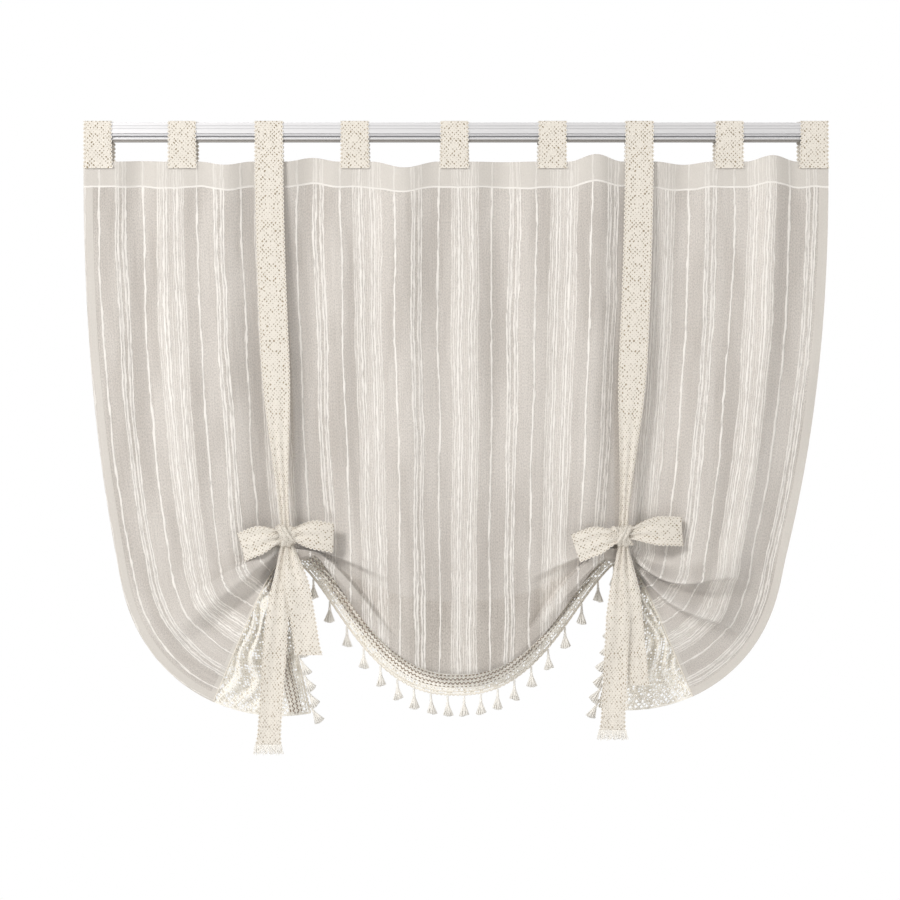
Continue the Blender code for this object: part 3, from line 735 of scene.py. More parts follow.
def tape_lace():
    """Cluny tape: staggered leaning holes round close-worked diamonds, and a row of loops at each edge."""
    w = Wiring("tape_lace")
    across, down = w.flat_place()
    from_middle = abs(across)
    slow = w.noise(w.join(across, down), 60.0, 2.0)
    turn = w.repeat(down, DIAMOND_PITCH)

    # each hole's place
    row = down / ROW_PITCH
    number = math.floor(row)
    along = (row - number - 0.5) * ROW_PITCH
    lean = w.math("SIGN", turn) * w.math("SIGN", across) * HOLE_LEAN
    leaned = across + along * lean + (slow - 0.5) * 0.007
    column = leaned / HOLE_PITCH + number % 2.0 * 0.5
    sideways = w.repeat(column, 1.0) * HOLE_PITCH

    # each hole's size, smaller on the diamonds
    jitter = w.noise(w.join(math.floor(column), number), 0.83, 0.0)
    from_diamond = abs(turn) * 2.0 + from_middle / DIAMOND_HALF_WIDTH
    size = (jitter * 2.6 + slow * 1.6 - 1.34) * w.blend(w.rise(from_diamond, 0.35, 0.60), 0.45, 1.0)
    hole = w.ring(sideways, HOLE_HALF_WIDTH, along, HOLE_HALF_HEIGHT) / w.most(size, 0.05)
    inside = w.fall(from_middle, 0.0212, 0.0222)
    thread = w.most(w.rise(hole, 0.75, 1.25), 1.0 - inside)

    # the loops at the edges
    loop = w.repeat(down, LOOP_PITCH) * LOOP_PITCH
    eye = w.rise(w.ring(from_middle - LOOP_MIDDLE, LOOP_HALF_WIDTH, loop, LOOP_HALF_HEIGHT), 0.75, 1.25)
    thread = w.least(thread, eye * 0.52 + 0.48)
    scallop = TAPE_EDGE - (abs(loop) / (LOOP_PITCH / 2)) ** 2.0 * TAPE_SCALLOP
    within = w.fall(from_middle - scallop, -0.0003, 0.0003)

    stitch = w.cells(w.join(across / 0.0019, down / 0.0021), 0.5)[0]
    relief = thread * (1.0 - stitch * 0.6)
    # the threads' dark and light tone, then a brown-grey painted shade for the holes
    colours = shade(215, 207, 195), shade(240, 235, 226), shade(168, 153, 129)
    return lace_finish(w, thread, relief, *colours, 0.25, within)


# %% Border lace
EDGE_RUN = 1.522
NET_PITCH = 0.0054
BIG_FROM = 0.1515
BIG_PITCH = 0.0076
BIG_SPACING = 0.0088
BIG_TO = BIG_FROM + 3 * BIG_PITCH
LOZENGE_PITCH = 0.0105
LOZENGE_BAND = 0.032
FIRM_FROM = 0.1832
SLIT_AT = 0.1848


def border_lace():
    """Bands by the distance from the hem: net, three rows of larger holes, and a narrow firm edge with slits."""
    w = Wiring("border_lace")
    across, down = w.flat_place()
    depth = down - CLOTH_LENGTH
    place = w.join(across, depth)
    wobble = (w.noise(place, 120.0) - 0.5) * 0.0022

    # the net, whose holes are large and small in patches
    net, tint = w.cells(w.join((across + wobble) / NET_PITCH, (depth + wobble) / NET_PITCH), 0.42)
    net_radius = w.rise(w.noise(place, 60.0, 2.0), 0.3, 0.7) * 0.29 + 0.15
    thread = w.rise(net, net_radius * 0.75, net_radius * 1.2)

    # a band of lozenges along each end
    from_end = w.least(across, EDGE_RUN - across)
    lozenge = abs(w.repeat(from_end, LOZENGE_PITCH)) + abs(w.repeat(depth, LOZENGE_PITCH))
    near_end = w.fall(from_end, LOZENGE_BAND - 0.001, LOZENGE_BAND + 0.001)
    thread = w.blend(near_end, thread, w.fall(abs(lozenge - 0.5), 0.13, 0.19))

    # the larger holes, in staggered rows
    big_row = (depth - BIG_FROM) / BIG_PITCH
    big_column = (across + wobble) / BIG_SPACING + math.floor(big_row) % 2.0 * 0.5
    big = w.cells(w.join(big_column, big_row), 0.08)[0]
    in_big = w.rise(depth, BIG_FROM - 0.0005, BIG_FROM + 0.0005) * w.rise(depth, BIG_TO + 0.0005, BIG_TO - 0.0005)
    thread = w.blend(in_big, thread, w.rise(big, 0.27, 0.36))

    # the firm parts: along the seam, along the free edge, and both ends
    slit = w.fall(abs(depth - SLIT_AT), 0.0006, 0.0013)
    links = w.rise(abs(w.math("SINE", across * 700.0)), 0.35, 0.6)
    firm = w.most(w.fall(depth, 0.004, 0.0055), w.rise(depth, FIRM_FROM, FIRM_FROM + 0.001))
    thread = w.most(thread - slit * links, firm * (1.0 - slit))
    thread = w.most(thread, w.fall(from_end, 0.003, 0.004))

    stitch = w.cells(w.join(across / 0.0018, depth / 0.0018), 0.6)[0]
    relief = w.blend(in_big, w.rise(net, 0.1, 0.6), w.rise(big, 0.25, 0.6)) - stitch * 0.5
    clear = w.blend(in_big, w.blend(w.rise(tint, 0.42, 0.48), 0.30, 0.95), 0.15)
    # painted shade in the holes: a light brown-grey in the net, and a dark brown in the larger holes, which let
    # little through
    shaded = w.colours(in_big, shade(208, 196, 174), shade(120, 92, 58))
    return lace_finish(w, thread, relief, shade(238, 231, 217), shade(255, 254, 250), shaded, clear)


# %% Cords and tassels


def plain_cotton(name, dark, light, scale=900.0):
    w = Wiring(name)
    fuzz = w.noise(w.object_place(), scale, 3.0)
    w.bump(fuzz, 0.0006, 0.8)
    return w.surface(colour=w.colours(fuzz, dark, light), roughness=0.95, specular=0.1)


CLOTH = sheer_cotton()
TAPE = tape_lace()
BORDER = border_lace()
CORD = plain_cotton("hem_cord", shade(226, 217, 202), shade(250, 246, 238))
TASSEL = plain_cotton("tassel_cotton", shade(236, 230, 221), shade(255, 254, 250), 600.0)

# %% [markdown]
# ## The cloth panel
#
# The grid is finest from a little above the bows down to the hem, where the folds are.

# %% Cloth panel
FINE_FROM = TIE_DROP - 0.10
rows = even(0.0, HEADER_DEPTH, 6)[:-1] + even(HEADER_DEPTH, FINE_FROM, 52)[:-1]
rows += even(FINE_FROM, TIE_DROP, 14)[:-1] + even(TIE_DROP, CLOTH_LENGTH, 100)
columns = even(0.0, FLAT_WIDTH, 320)
panel = grid_sheet("cloth_panel", columns, rows, drape, lambda across, length: (across, length))
dress(panel, CLOTH, "sheer_cotton", "panel")
show_area(panel, FLAT_WIDTH * CLOTH_LENGTH)

# %% [markdown]
# ## The lace border
#
# The border is sewn behind the hem and hangs from it. Its free edge is scalloped between the tassels.

# %% Lace border
SCALLOP_PITCH = FLAT_WIDTH / TASSEL_COUNT / 4
SCALLOP = 0.0022
GATHERS = 5
MOST_FULLNESS = 4.0
LACE_EDGE = CLOTH_LENGTH + LACE_DEPTH
FINE_LACE_FROM = CLOTH_LENGTH + 0.03


def lace_gathers(across, share):
    """The lace is as deep as its flat strip, so where it hangs less deep it lies in small folds."""
    x_level, away, side = level_place(across)[:3]
    if side == 0:
        hung = LACE_DEPTH * max(0.03, swag_curve(x_level, 1.0))
        shown = 1.0 - step(0.66, 0.90, share)
    else:
        hung = max(0.006, away * (LACE_ANGLE - SEAM_ANGLE))
        shown = 1.0 - step(0.90, 1.0, share)
    fullness = min(MOST_FULLNESS, max(1.0, LACE_DEPTH / hung))
    deep = 3.3 * math.sqrt(fullness - 1.0) * hung / (GATHERS * 2.0 * math.pi)
    wander = 1.2 * noise.noise(Vector((away * 14.0, share * 2.0, 5.0 + side)))
    return deep * math.sin(2.0 * math.pi * (GATHERS * share + wander)) * step(0.0, 0.06, share) * shown


def border_point(across, length):
    share = max(0.0, (length - CLOTH_LENGTH) / LACE_DEPTH)
    scallop = SCALLOP * (1.0 - abs(math.sin(math.pi * across / SCALLOP_PITCH))) * step(0.97, 1.0, share)
    behind = LACE_BEHIND + lace_gathers(across, share)
    return drape(across, length - scallop, 1.0 - share) + Vector((0.0, behind, 0.0))


def edge_lengths(columns):
    """Length along the free edge up to each column, and the edge's slope there."""
    points = [drape(across, LACE_EDGE, 0.0) for across in columns]
    slopes = []
    for number, across in enumerate(columns):
        along = points[min(len(points) - 1, number + 1)] - points[max(0, number - 1)]
        in_swag = level_place(across)[2] == 0
        slopes.append(math.atan2(-along.z, abs(along.x)) if in_swag else 0.0)
    return lengths_along(points), slopes


def lace_place(across, length):
    """The pattern's place: measured along the free edge, and square to it up from the edge."""
    number = round(across / FLAT_WIDTH * (len(border_columns) - 1))
    up = lengths_along([drape(across, stop, 0.0) for stop in even(length, LACE_EDGE, 4)])[-1]
    slope = edge_slopes[number]
    return edge_run[number] - up * math.sin(slope), LACE_EDGE - up * math.cos(slope)


border_rows = even(CLOTH_LENGTH - LACE_LAP, FINE_LACE_FROM, 14)[:-1] + even(FINE_LACE_FROM, LACE_EDGE, 50)
border_columns = even(0.0, FLAT_WIDTH, 480)
edge_run, edge_slopes = edge_lengths(border_columns)
print("free edge:", round(edge_run[-1], 3), "m long")
border = grid_sheet("border", border_columns, border_rows, border_point, lace_place)
dress(border, BORDER, "cotton_lace", "lace_border")
show_area(border, FLAT_WIDTH * LACE_DEPTH)

# %% [markdown]
# A fine cord covers the seam, and two more finish the free edge. Each is a curve with a round bevel.

# %% Cords of the border
CORD_RADIUS = 0.0011
INNER_CORD_RADIUS = 0.0009


def tubes(name, lines, radius, resolution, capped, material):
    """Round tubes along lines of points, as one mesh."""
    curve = bpy.data.curves.new(name, "CURVE")
    curve.dimensions = "3D"
    curve.bevel_depth = radius
    curve.bevel_resolution = resolution
    curve.use_fill_caps = capped
    for line in lines:
        spline = curve.splines.new("POLY")
        spline.points.add(len(line) - 1)
        for place, point in zip(spline.points, line):
            place.co = (*point, 1.0)
    select(add_object(name, curve))
    bpy.ops.object.convert(target="MESH")
    made = bpy.context.active_object
    made.data.shade_smooth()
    return dress(made, material, "cotton_lace")


def border_cord(name, length, steps, radius, forward_by=0.0):
    off = Vector((0.0, -forward_by, 0.0))
    line = [border_point(across, length) + off for across in even(0.0, FLAT_WIDTH, steps)]
    return tubes(name, [line], radius, 1, True, CORD)


seam_cord = border_cord("seam_cord", CLOTH_LENGTH, 420, CORD_RADIUS, 0.0022)
edge_cord = border_cord("edge_cord", LACE_EDGE - 0.0005, 640, CORD_RADIUS)
inner_cord = border_cord("inner_cord", LACE_EDGE - 0.0075, 420, INNER_CORD_RADIUS)

# %% [markdown]
# ## Lace tabs and tapes
#
# A ribbon is a grid too. Its rows follow a path and its columns run across it, so the lace pattern lies
# straight along the tape. Pleats gather it where it is drawn together.

# %% Ribbon helper
RIBBON_COLUMNS = 16
PER_SPAN = 5


def smooth_path(points, per_span):
    """A Catmull-Rom curve through the points."""
    made = []
    for number in range(len(points) - 1):
        before = points[max(0, number - 1)]
        start, end = points[number], points[number + 1]
        after = points[min(len(points) - 1, number + 2)]
        slope = end - before
        bend = 2.0 * before - 5.0 * start + 4.0 * end - after
        twist = 3.0 * start - before - 3.0 * end + after
        for piece in range(per_span):
            t = piece / per_span
            made.append(0.5 * (2.0 * start + slope * t + bend * t**2 + twist * t**3))
    return made + [points[-1].copy()]


def ribbon(name, path, width_at, cross_at, relief=None, start=0.0):
    """width_at, cross_at and relief are given the share of the path. relief gives the move off the tape."""
    lengths = lengths_along(path, start)
    count = len(path) - 1
    columns = even(-0.5, 0.5, RIBBON_COLUMNS)

    def point(column, row):
        share = row / count
        cross = cross_at(share)
        before, after = path[max(0, row - 1)], path[min(count, row + 1)]
        normal = cross.cross(after - before).normalized()
        place = path[row] + cross * (column * width_at(share))
        if relief:
            place += normal * relief(share, column)
        return place

    def flat(column, row):
        return column * TAPE_WIDTH, lengths[row]

    return grid_sheet(name, columns, list(range(count + 1)), point, flat)


def straight(share):
    return Vector((1.0, 0.0, 0.0))


def loop_over_rail(x):
    """Round the rail from its front to its back, just clear of it."""
    half = TAPE_THICKNESS / 2 + TOUCH
    turn = half * math.sqrt(0.5)
    top = RAIL_HEIGHT / 2
    front = -RAIL_DEPTH
    path = [(front - half, RAIL_BOTTOM), (front - half, top), (front - turn, top + turn), (front, top + half)]
    path += [(0.0, top + half), (turn, top + turn), (half, top), (half, RAIL_BOTTOM)]
    return [Vector((x, y, z)) for y, z in path]


# %% Short tabs
BACK_LEG_SHIFT = 0.0045
TAB_STAND_OFF = 0.0019
LEG_BEND_Z = -0.035
PATTERN_SHIFT = 0.013


def tab_path(x):
    """From the front foot over the rail to the back foot. The back leg stands a little further in."""
    top = CLOTH_TOP + 0.001
    foot = CLOTH_TOP - TAB_LAP
    front, back = HANG_Y - TAB_STAND_OFF, HANG_Y + TAB_STAND_OFF
    bend_front = mix(HANG_Y, -RAIL_DEPTH, 0.6) - TAB_STAND_OFF
    bend_back = mix(HANG_Y, 0.0, 0.6) + TAB_STAND_OFF
    stops = [(front - 0.0008, foot), (front - 0.0005, foot + 0.006), (front - 0.0004, top), (bend_front, LEG_BEND_Z)]
    stops = [Vector((x, y, z)) for y, z in stops] + loop_over_rail(x)
    stops += [Vector((x, y, z)) for y, z in ((bend_back, LEG_BEND_Z), (back + 0.0004, top), (back + 0.0008, foot))]
    path = smooth_path(stops, PER_SPAN)
    shift = -BACK_LEG_SHIFT * x / (HUNG_WIDTH / 2)
    for order, place in enumerate(path):
        place.x += shift * step(0.35, 0.75, order / (len(path) - 1))
    return path


def tab_width(share):
    return TAPE_WIDTH * (1.0 + 0.05 * (abs(2.0 * share - 1.0) ** 3) - 0.02 * math.sin(math.pi * share))


for number, x in enumerate(TABS):
    if number not in TIED_TABS:
        tab = ribbon(f"lace_tab_{number + 1}", tab_path(x), tab_width, straight, start=PATTERN_SHIFT * number)
        dress(tab, TAPE, "cotton_lace", f"tab_{number + 1}")

# %% [markdown]
# ## The long tapes and their bows
#
# Each long tape is one ribbon. It runs up the front from the knot, over the rail and down the back, narrows
# towards the neck and goes round under it.

# %% Long tapes
SIDES = ("left", "right")
LEG_STOPS = 16
UNDER_STOPS = 8
BACK_START = LEG_STOPS + 8
PLEAT_HEIGHT = 0.0022
PLEATS = 2.5


def tape_stops(side):
    """Up the front from the knot, over the rail, down the back and round under the neck."""
    x_top, x_neck = TABS[TIED_TABS[side]], NECK_X[side]
    knot_z = NECK_Z + BOW_RISE
    over = loop_over_rail(x_top)
    front, back, under = [], [], []
    for number in range(1, LEG_STOPS + 1):
        share = number / LEG_STOPS
        x = mix(x_top, x_neck, share**NECK_PULL_BEND)
        front_y = mix(over[0].y, -KNOT_FORWARD - FRONT_CLEAR, share)
        front.append(Vector((x, front_y, mix(RAIL_BOTTOM, knot_z + 0.006, share))))
        back.append(Vector((x, mix(over[-1].y, NECK_BACK, share), mix(RAIL_BOTTOM, NECK_Z, share))))
    middle_y = (NECK_BACK - NECK_FRONT) / 2
    reach = (NECK_BACK + NECK_FRONT) / 2
    for number in range(1, UNDER_STOPS + 1):
        turn = math.pi * number / UNDER_STOPS
        level = math.copysign(abs(math.cos(turn)) ** NECK_SQUARE, math.cos(turn))
        deep = abs(math.sin(turn)) ** NECK_SQUARE
        under.append(Vector((x_neck, middle_y + reach * level, NECK_Z - NECK_UNDER * deep)))
    under.append(Vector((x_neck, -NECK_FRONT - 0.0014, knot_z - 0.006)))
    return front[::-1] + over + back + under


def long_tape(side):
    path = smooth_path(tape_stops(side), PER_SPAN)
    count = len(path) - 1
    leg_end = LEG_STOPS * PER_SPAN / count
    back_start = BACK_START * PER_SPAN / count
    back_end = (BACK_START + LEG_STOPS) * PER_SPAN / count

    def width(share):
        if share < leg_end:
            return mix(NECK_TAPE_WIDTH, TAPE_WIDTH, 1.0 - step(NARROWS_FROM, 1.0, 1.0 - share / leg_end))
        if share < back_start:
            return TAPE_WIDTH
        if share < back_end:
            down = (share - back_start) / (back_end - back_start)
            return mix(TAPE_WIDTH, NECK_TAPE_WIDTH, step(NARROWS_FROM, 1.0, down))
        return NECK_TAPE_WIDTH

    def pleats(share, column):
        gather = 1.0 - (width(share) - NECK_TAPE_WIDTH) / (TAPE_WIDTH - NECK_TAPE_WIDTH)
        return PLEAT_HEIGHT * gather * math.cos(2.0 * math.pi * PLEATS * column + side)

    tape = ribbon(f"tape_{SIDES[side]}", path, width, straight, pleats)
    return dress(tape, TAPE, "cotton_lace", f"tie_{SIDES[side]}")


tapes = [long_tape(side) for side in (0, 1)]

# %% [markdown]
# Each bow is tied from the tape itself: two loops and two tails leave a knot, and two crossing turns of tape wrap
# the knot. The loops are pleated where the knot squeezes them and open out to the tape's full width. The longer
# tail of each bow is frayed.

# %% Bows
LOOP_GAP = 0.0105
LOOP_ARCH = 0.004
LOOP_WIDTH = 0.056
LOOP_PLEAT = 0.0036
SQUEEZED_LOOP = 0.016
SQUEEZED_TAIL = 0.014
TAIL_PLEAT = 0.0030
TAIL_CREASE = 0.006
WRAP_TURN = 0.62 * math.pi
WRAP_PLEAT = 0.0013
WRAP_CURL = 0.012


def bow_loop(name, knot, end, turn):
    """A loop of tape out from the knot and back behind itself. turn sets where its pleats begin."""
    stops = []
    shares = even(0.0, 1.0, 9)
    for facing, order in ((-1.0, shares), (1.0, shares[::-1])):
        for share in order:
            open_share = mix(math.sin(math.pi * share**0.8), 1.0 - share**6, 0.15)
            gap = LOOP_GAP * open_share + TAPE_THICKNESS
            arch = LOOP_ARCH * math.sin(math.pi * share)
            stops.append(knot + Vector((end[0] * share, facing * gap, end[1] * share + arch)))
    slope = Vector((-end[1], 0.0, end[0])).normalized()
    slope *= math.copysign(1.0, slope.z)

    def width(share):
        out = 1.0 - abs(2.0 * share - 1.0)
        return mix(SQUEEZED_LOOP, LOOP_WIDTH, step(-0.05, 0.62, out))

    def pleats(share, column):
        out = 1.0 - abs(2.0 * share - 1.0)
        deep = LOOP_PLEAT * (1.0 - out) ** 0.8 * math.cos(2.0 * math.pi * 2.4 * column + turn)
        return deep + 0.0012 * math.sin(9.0 * share + 3.0 * column + turn)

    return ribbon(name, smooth_path(stops, 3), width, lambda share: slope, pleats)


def bow_tail(name, knot, end, number, wide):
    """A hanging end of the tape, folded along its middle."""
    stops = []
    for share in even(0.0, 1.0, 14):
        x = knot.x + end[0] * share**0.8
        y = knot.y + TAIL_STEP * number - TAIL_FORWARD * step(0.0, 0.5, share)
        stops.append(Vector((x, y, knot.z + end[1] * share)))

    def width(share):
        return mix(SQUEEZED_TAIL, wide, step(0.0, 0.45, share)) * (1.0 + 0.10 * step(0.93, 1.0, share))

    def fold(share, column):
        gather = 1.0 - step(0.0, 0.7, share)
        crease = -TAIL_CREASE * abs(column - 0.12 * math.sin(5.0 * share)) * step(0.1, 0.5, share)
        wave = 0.0015 * math.sin(3.0 * column + 11.0 * share)
        return TAIL_PLEAT * gather * math.cos(4.0 * math.pi * column) + crease + wave

    return ribbon(name, smooth_path(stops, 4), width, straight, fold)


def wrap(name, middle, reach, lean, wide):
    """A short turn of tape round the knot: round its front, with its ends tucked in behind."""
    stops = []
    for turn in even(-WRAP_TURN, WRAP_TURN, 12):
        stops.append(middle + Vector((lean * math.sin(turn), -reach[0] * math.cos(turn), reach[1] * math.sin(turn))))
    across = Vector((1.0, 0.0, -12.0 * lean)).normalized()

    def width(share):
        return wide * (1.0 - 0.15 * math.sin(math.pi * share))

    def pleats(share, column):
        return WRAP_PLEAT * math.cos(2.0 * math.pi * PLEATS * column + 2.0 * share) - WRAP_CURL * column * column

    return ribbon(name, smooth_path(stops, 3), width, lambda share: across, pleats)


FRAY = 0.020
FRAY_THREADS = 44
FRAY_RADIUS = 0.00075
FRAY_PIECES = 6


def fray_thread(number, foot):
    """One loose thread, from its place along the cut end."""
    place = (number + 0.5) / FRAY_THREADS * RIBBON_COLUMNS
    column = min(RIBBON_COLUMNS - 1, int(place))
    root = foot[column].lerp(foot[column + 1], place - column)
    out = (place / RIBBON_COLUMNS - 0.5) * 2.0
    length = FRAY * (0.85 + 0.3 * noise.noise(Vector((number * 0.9, 2.0, 0.0))))
    line = []
    for piece in range(FRAY_PIECES + 1):
        share = piece / FRAY_PIECES
        sway = 0.0030 * share * noise.noise(Vector((number * 0.7, share * 3.0, 4.0)))
        deep = 0.0050 * share * noise.noise(Vector((number * 1.3, share * 2.0, 9.0)))
        line.append((root.x + 0.0035 * out * share + sway, root.y + deep, root.z + 0.002 - length * share))
    return line


def frayed_foot(name, tail):
    """Loose threads from the cut end of a tail."""
    points = [vertex.co.copy() for vertex in tail.data.vertices]
    across = RIBBON_COLUMNS + 1
    foot = points[-across:] if points[0].z > points[-1].z else points[:across]
    threads = [fray_thread(number, foot) for number in range(FRAY_THREADS)]
    return tubes(name, threads, FRAY_RADIUS, 0, False, TASSEL)


TAIL_WIDTHS = ((0.045, 0.050), (0.046, 0.038))
WRAP_LEAN = (-0.010, 0.010)
# of each turn round the knot: its name, place, reach forward and up, lean and width
WRAPS = (
    ("over", (0.0, 0.0, 0.001), (0.0185, 0.0185), 1.0, 0.024),
    ("under", (-0.4, 0.002, -0.003), (0.0150, 0.0190), -1.0, 0.034),
)


def bow(side):
    name = SIDES[side]
    knot = Vector((NECK_X[side], -KNOT_FORWARD, NECK_Z + BOW_RISE))
    for number, end in enumerate(LOOP_ENDS[side]):
        dress(bow_loop(f"bow_loop_{name}_{number + 1}", knot, end, number + 2.0 * side), TAPE, "cotton_lace")
    for number, end in enumerate(TAIL_ENDS[side]):
        frayed = number == 0
        foot = (end[0], end[1] + (0.8 * FRAY if frayed else 0.0))
        tail = bow_tail(f"bow_tail_{name}_{number + 1}", knot, foot, number, TAIL_WIDTHS[side][number])
        dress(tail, TAPE, "cotton_lace")
        if frayed:
            frayed_foot(f"bow_tail_{name}_{number + 1}_threads", tail)
    lean = WRAP_LEAN[side]
    for turn, (x, y, z), reach, share, wide in WRAPS:
        middle = knot + Vector((x * lean, y, z))
        dress(wrap(f"knot_{name}_{turn}", middle, reach, share * lean, wide), TAPE, "cotton_lace")


for side in (0, 1):
    bow(side)

# %% [markdown]
# ## Tassels
#
# One tassel is put together from primitives: a twisted thread, a head, a collar and a skirt of strands. Copies
# of it hang from the free edge, and they lean out where the lace opens as a fan.

# %% One tassel
YARN_OFFSET = 0.0008
YARN_RADIUS = 0.0013
YARN_PIECES = 6
HEAD_RADIUS = 0.0030
STRANDS = 22
SKIRT_REACH = 0.0094
SKIRT_TOP = -THREAD_LENGTH - 0.0030
GOLDEN_SHARE = 0.382


def add_part(kind, place, **sizes):
    """A primitive at its place, whose own turn is still to be applied."""
    select()
    getattr(bpy.ops.mesh, f"primitive_{kind}_add")(location=place, **sizes)
    return bpy.context.active_object


def twisted_thread():
    """Three yarns twisted together, each of short leaning pieces."""
    for yarn in range(3):
        for piece in range(YARN_PIECES):
            turn = 2.0 * math.pi * yarn / 3 + piece * 1.0
            x, y = math.cos(turn), math.sin(turn)
            place = (YARN_OFFSET * x, YARN_OFFSET * y, -THREAD_LENGTH * (piece + 0.5) / YARN_PIECES)
            cord = add_part("cylinder", place, vertices=5, radius=YARN_RADIUS, depth=THREAD_LENGTH / 5)
            cord.rotation_euler = (0.45 * x, 0.45 * y, 0.0)
            yield cord


def skirt():
    """Strands that spread from the collar."""
    for number in range(STRANDS):
        angle = 2.0 * math.pi * number * GOLDEN_SHARE
        out = math.sqrt((number + 0.5) / STRANDS)
        length = SKIRT_LENGTH * (0.93 + 0.07 * math.sin(number * 2.4))
        strand = add_part("cone", (0, 0, -length / 2), vertices=5, radius1=0.0015, radius2=0.0009, depth=length)
        strand.data.transform(Matrix.Translation((0, 0, -length / 2)))
        strand.location = (0.0012 * out * math.cos(angle), 0.0012 * out * math.sin(angle), SKIRT_TOP)
        strand.rotation_euler = (0.0, -math.atan2(SKIRT_REACH * out, length), angle)
        yield strand


parts = list(twisted_thread())
head = (0, 0, -THREAD_LENGTH - 0.0012)
parts.append(add_part("uv_sphere", head, segments=10, ring_count=6, radius=HEAD_RADIUS))
collar = dict(major_segments=10, minor_segments=5, major_radius=0.0024, minor_radius=0.0008)
parts.append(add_part("torus", (0, 0, -THREAD_LENGTH - 0.0042), **collar))
parts += skirt()
select(*parts)
bpy.ops.object.join()
tassel = bpy.context.active_object
bpy.ops.object.transform_apply(location=True, rotation=True, scale=True)

# %% Tassels along the edge


def edge_point(across, length):
    return drape(across, length, 0.0) + Vector((0.0, LACE_BEHIND, 0.0))


NEARBY = THREAD_LENGTH / 2
tassels = []
for number in range(TASSEL_COUNT):
    across = (number + 0.5) * FLAT_WIDTH / TASSEL_COUNT
    away, side = level_place(across)[1:3]
    point = edge_point(across, LACE_EDGE)
    along = (edge_point(across + NEARBY, LACE_EDGE) - edge_point(across - NEARBY, LACE_EDGE)).normalized()
    outward = point - edge_point(across, LACE_EDGE - NEARBY)
    outward = (outward - along * outward.dot(along)).normalized()
    tilt = side * SIDE_TILT * step(NECK_HALF, 4.0 * NECK_HALF, away)
    lean = 0.10 * noise.noise(Vector((number * 1.7, 0.3, 0.0)))
    turned = Matrix.Rotation(tilt + lean, 4, "Y") @ Matrix.Rotation(number * 1.3, 4, "Z")
    made = add_object(f"cotton_tassel_{number + 1:02d}", tassel.data.copy())
    made.data.transform(Matrix.Translation(point + outward * 0.0006) @ turned)
    made.data.shade_smooth()
    dress(made, TASSEL, "cotton_lace", f"tassel_{number + 1:02d}")
    tassels.append(made)
bpy.data.objects.remove(tassel)

# %% [markdown]
# ## The rail
#
# The rail keeps its imported solid and gets a finish: brushed aluminium, with painted shade as dark lines in its
# grooves and along its underside.

# %% Rail finish
# of each groove's line of painted shade: its height on the rail, half its width, and how dark it is
RAIL_GROOVE_SHADES = ((0.0115, 0.0008, 0.40), (0.0064, 0.0008, 0.40), (-0.0036, 0.0010, 0.6), (-0.0079, 0.0013, 1.0))


def anodised():
    w = Wiring("anodised_aluminium")
    x, y, z = w.split(w.object_place())
    streak = w.noise(w.join(x * 0.004, z, y), 900.0, 1.0)
    lines = 0.0
    for height, half, weight in RAIL_GROOVE_SHADES:
        lines = w.most(lines, w.fall(abs(z - height), half * 0.5, half * 1.5) * weight)
    body = w.colours(streak, shade(220, 219, 220), shade(232, 231, 232))
    # painted shade: the grooves are darkened in the colour
    body = w.colours(lines, body, shade(146, 146, 149))
    # painted shade: the lowest part of the rail is darkened to brown, as its shaded underside
    body = w.colours(w.fall(z, -0.0150, -0.0120) * 0.75, body, shade(112, 104, 92))
    w.bump(streak * 0.05 - lines, 0.0004, 0.5)
    return w.surface(colour=body, metallic=0.55, roughness=0.50)


nodes["rail"].data.materials.clear()
nodes["rail"].data.materials.append(anodised())

# %% [markdown]
# ## Pieces sewn on the border
#
# The cords and tassels sewn on the border are kept together in one list.

# %% Sewn-on pieces
sewn_on = [seam_cord, edge_cord, inner_cord] + tassels

# %% [markdown]
# ## Stage, lights and camera
#
# The photograph looks straight at the curtain, with soft light from the upper left and a white ground.

# %% Stage
WHITE = (1.0, 1.0, 1.0, 1.0)
SOFT_LIGHT = (1.0, 0.985, 0.96, 1.0)


def swap_for_rays(tree, kinds, plain, seen, surface):
    """Links plain to the surface, but seen for rays of the two kinds."""
    rays = tree.nodes.new("ShaderNodeLightPath")
    either = tree.nodes.new("ShaderNodeMath")
    either.operation = "MAXIMUM"
    for place, kind in enumerate(kinds):
        tree.links.new(rays.outputs[kind], either.inputs[place])
    blend = tree.nodes.new("ShaderNodeMixShader")
    for place, source in enumerate((either, plain, seen)):
        tree.links.new(source.outputs[0], blend.inputs[place])
    tree.links.new(blend.outputs[0], surface)


def white_stage(name):
    made = bpy.data.materials.new(name)
    made.use_nodes = True
    tree = made.node_tree
    shader = tree.nodes["Principled BSDF"]
    shader.inputs["Base Color"].default_value = (0.9, 0.9, 0.9, 1.0)
    shader.inputs["Roughness"].default_value = 0.9
    glow = tree.nodes.new("ShaderNodeEmission")
    glow.inputs["Strength"].default_value = 1.0
    surface = tree.nodes["Material Output"].inputs["Surface"]
    swap_for_rays(tree, ("Is Glossy Ray", "Is Camera Ray"), shader, glow, surface)
    return made


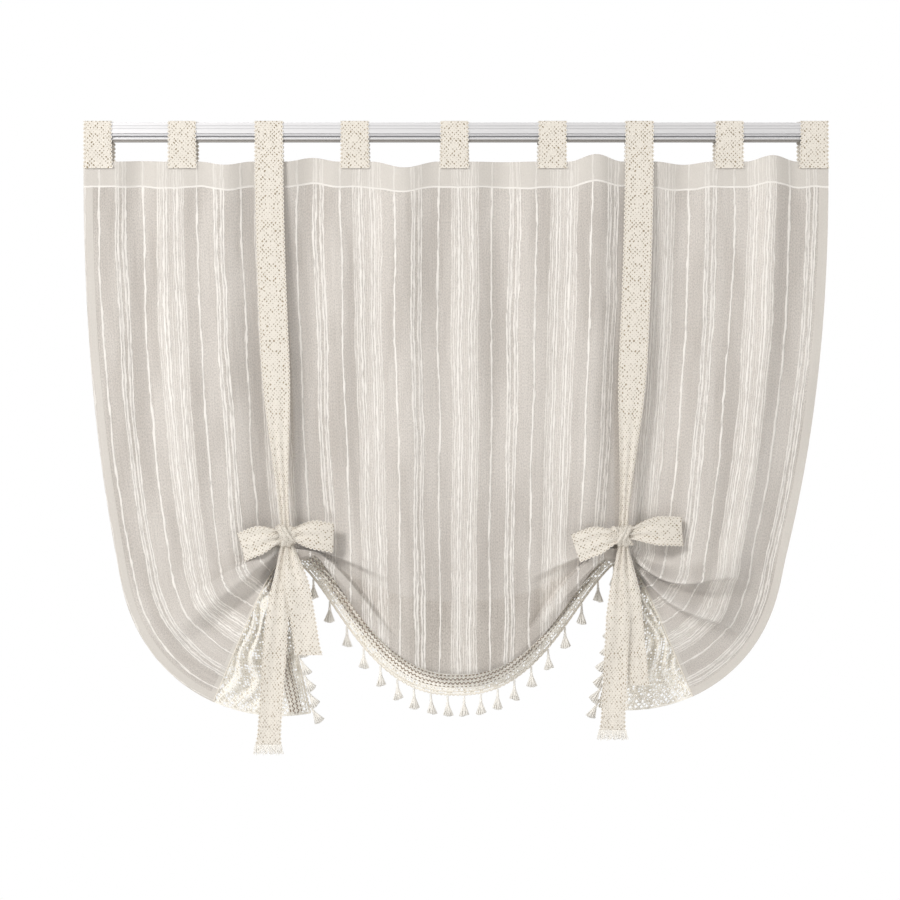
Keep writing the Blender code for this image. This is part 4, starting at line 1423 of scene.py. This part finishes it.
def background(tree, colour, strength):
    made = tree.nodes.new("ShaderNodeBackground")
    made.inputs["Color"].default_value = colour
    made.inputs["Strength"].default_value = strength
    return made


select()
bpy.ops.mesh.primitive_plane_add(size=14.0, location=(0.0, 0.0, -1.75))
floor = bpy.context.active_object
floor.name = "floor"
floor.data.materials.append(white_stage("floor_white"))

world = bpy.context.scene.world or bpy.data.worlds.new("studio")
bpy.context.scene.world = world
world.use_nodes = True
tree = world.node_tree
tree.nodes.clear()
output = tree.nodes.new("ShaderNodeOutputWorld")
lighting = background(tree, SOFT_LIGHT, 0.50)
seen = background(tree, WHITE, 1.0)
swap_for_rays(tree, ("Is Camera Ray", "Is Transmission Ray"), lighting, seen, output.inputs["Surface"])

# %% Lamps


def lamp(name, place, size, power, target=(0.0, 0.0, -0.6)):
    data = bpy.data.lights.new(name, "AREA")
    data.size = size
    data.energy = power
    made = add_object(name, data)
    made.location = place
    made.rotation_euler = (Vector(target) - Vector(place)).to_track_quat("-Z", "Y").to_euler()


lamp("key", (-3.4, -4.2, 2.2), 1.4, 205.0)
lamp("fill", (3.4, -4.0, -1.8), 2.4, 72.0)
lamp("low_fill", (1.5, -2.2, -2.0), 1.2, 9.0, (0.4, 0.0, -1.0))
lamp("back_fill", (0.0, 4.6, 1.2), 2.4, 60.0)

# %% Camera
METRES_PER_PIXEL = 0.001882
PICTURE_PIXELS = 900
RAIL_PIXEL = (456, 133)
SENSOR = 36.0
DISTANCE = 4.0
camera_data = bpy.data.cameras.new("camera")
camera_data.sensor_width = SENSOR
camera_data.lens = SENSOR * DISTANCE / (PICTURE_PIXELS * METRES_PER_PIXEL)
camera = add_object("camera", camera_data)
camera_x = (PICTURE_PIXELS / 2 - RAIL_PIXEL[0]) * METRES_PER_PIXEL
camera_z = (RAIL_PIXEL[1] - PICTURE_PIXELS / 2) * METRES_PER_PIXEL
camera.location = (camera_x, -DISTANCE, camera_z)
camera.rotation_euler = (math.radians(90), 0.0, 0.0)
bpy.context.scene.camera = camera
bpy.context.scene.view_settings.view_transform = "Standard"
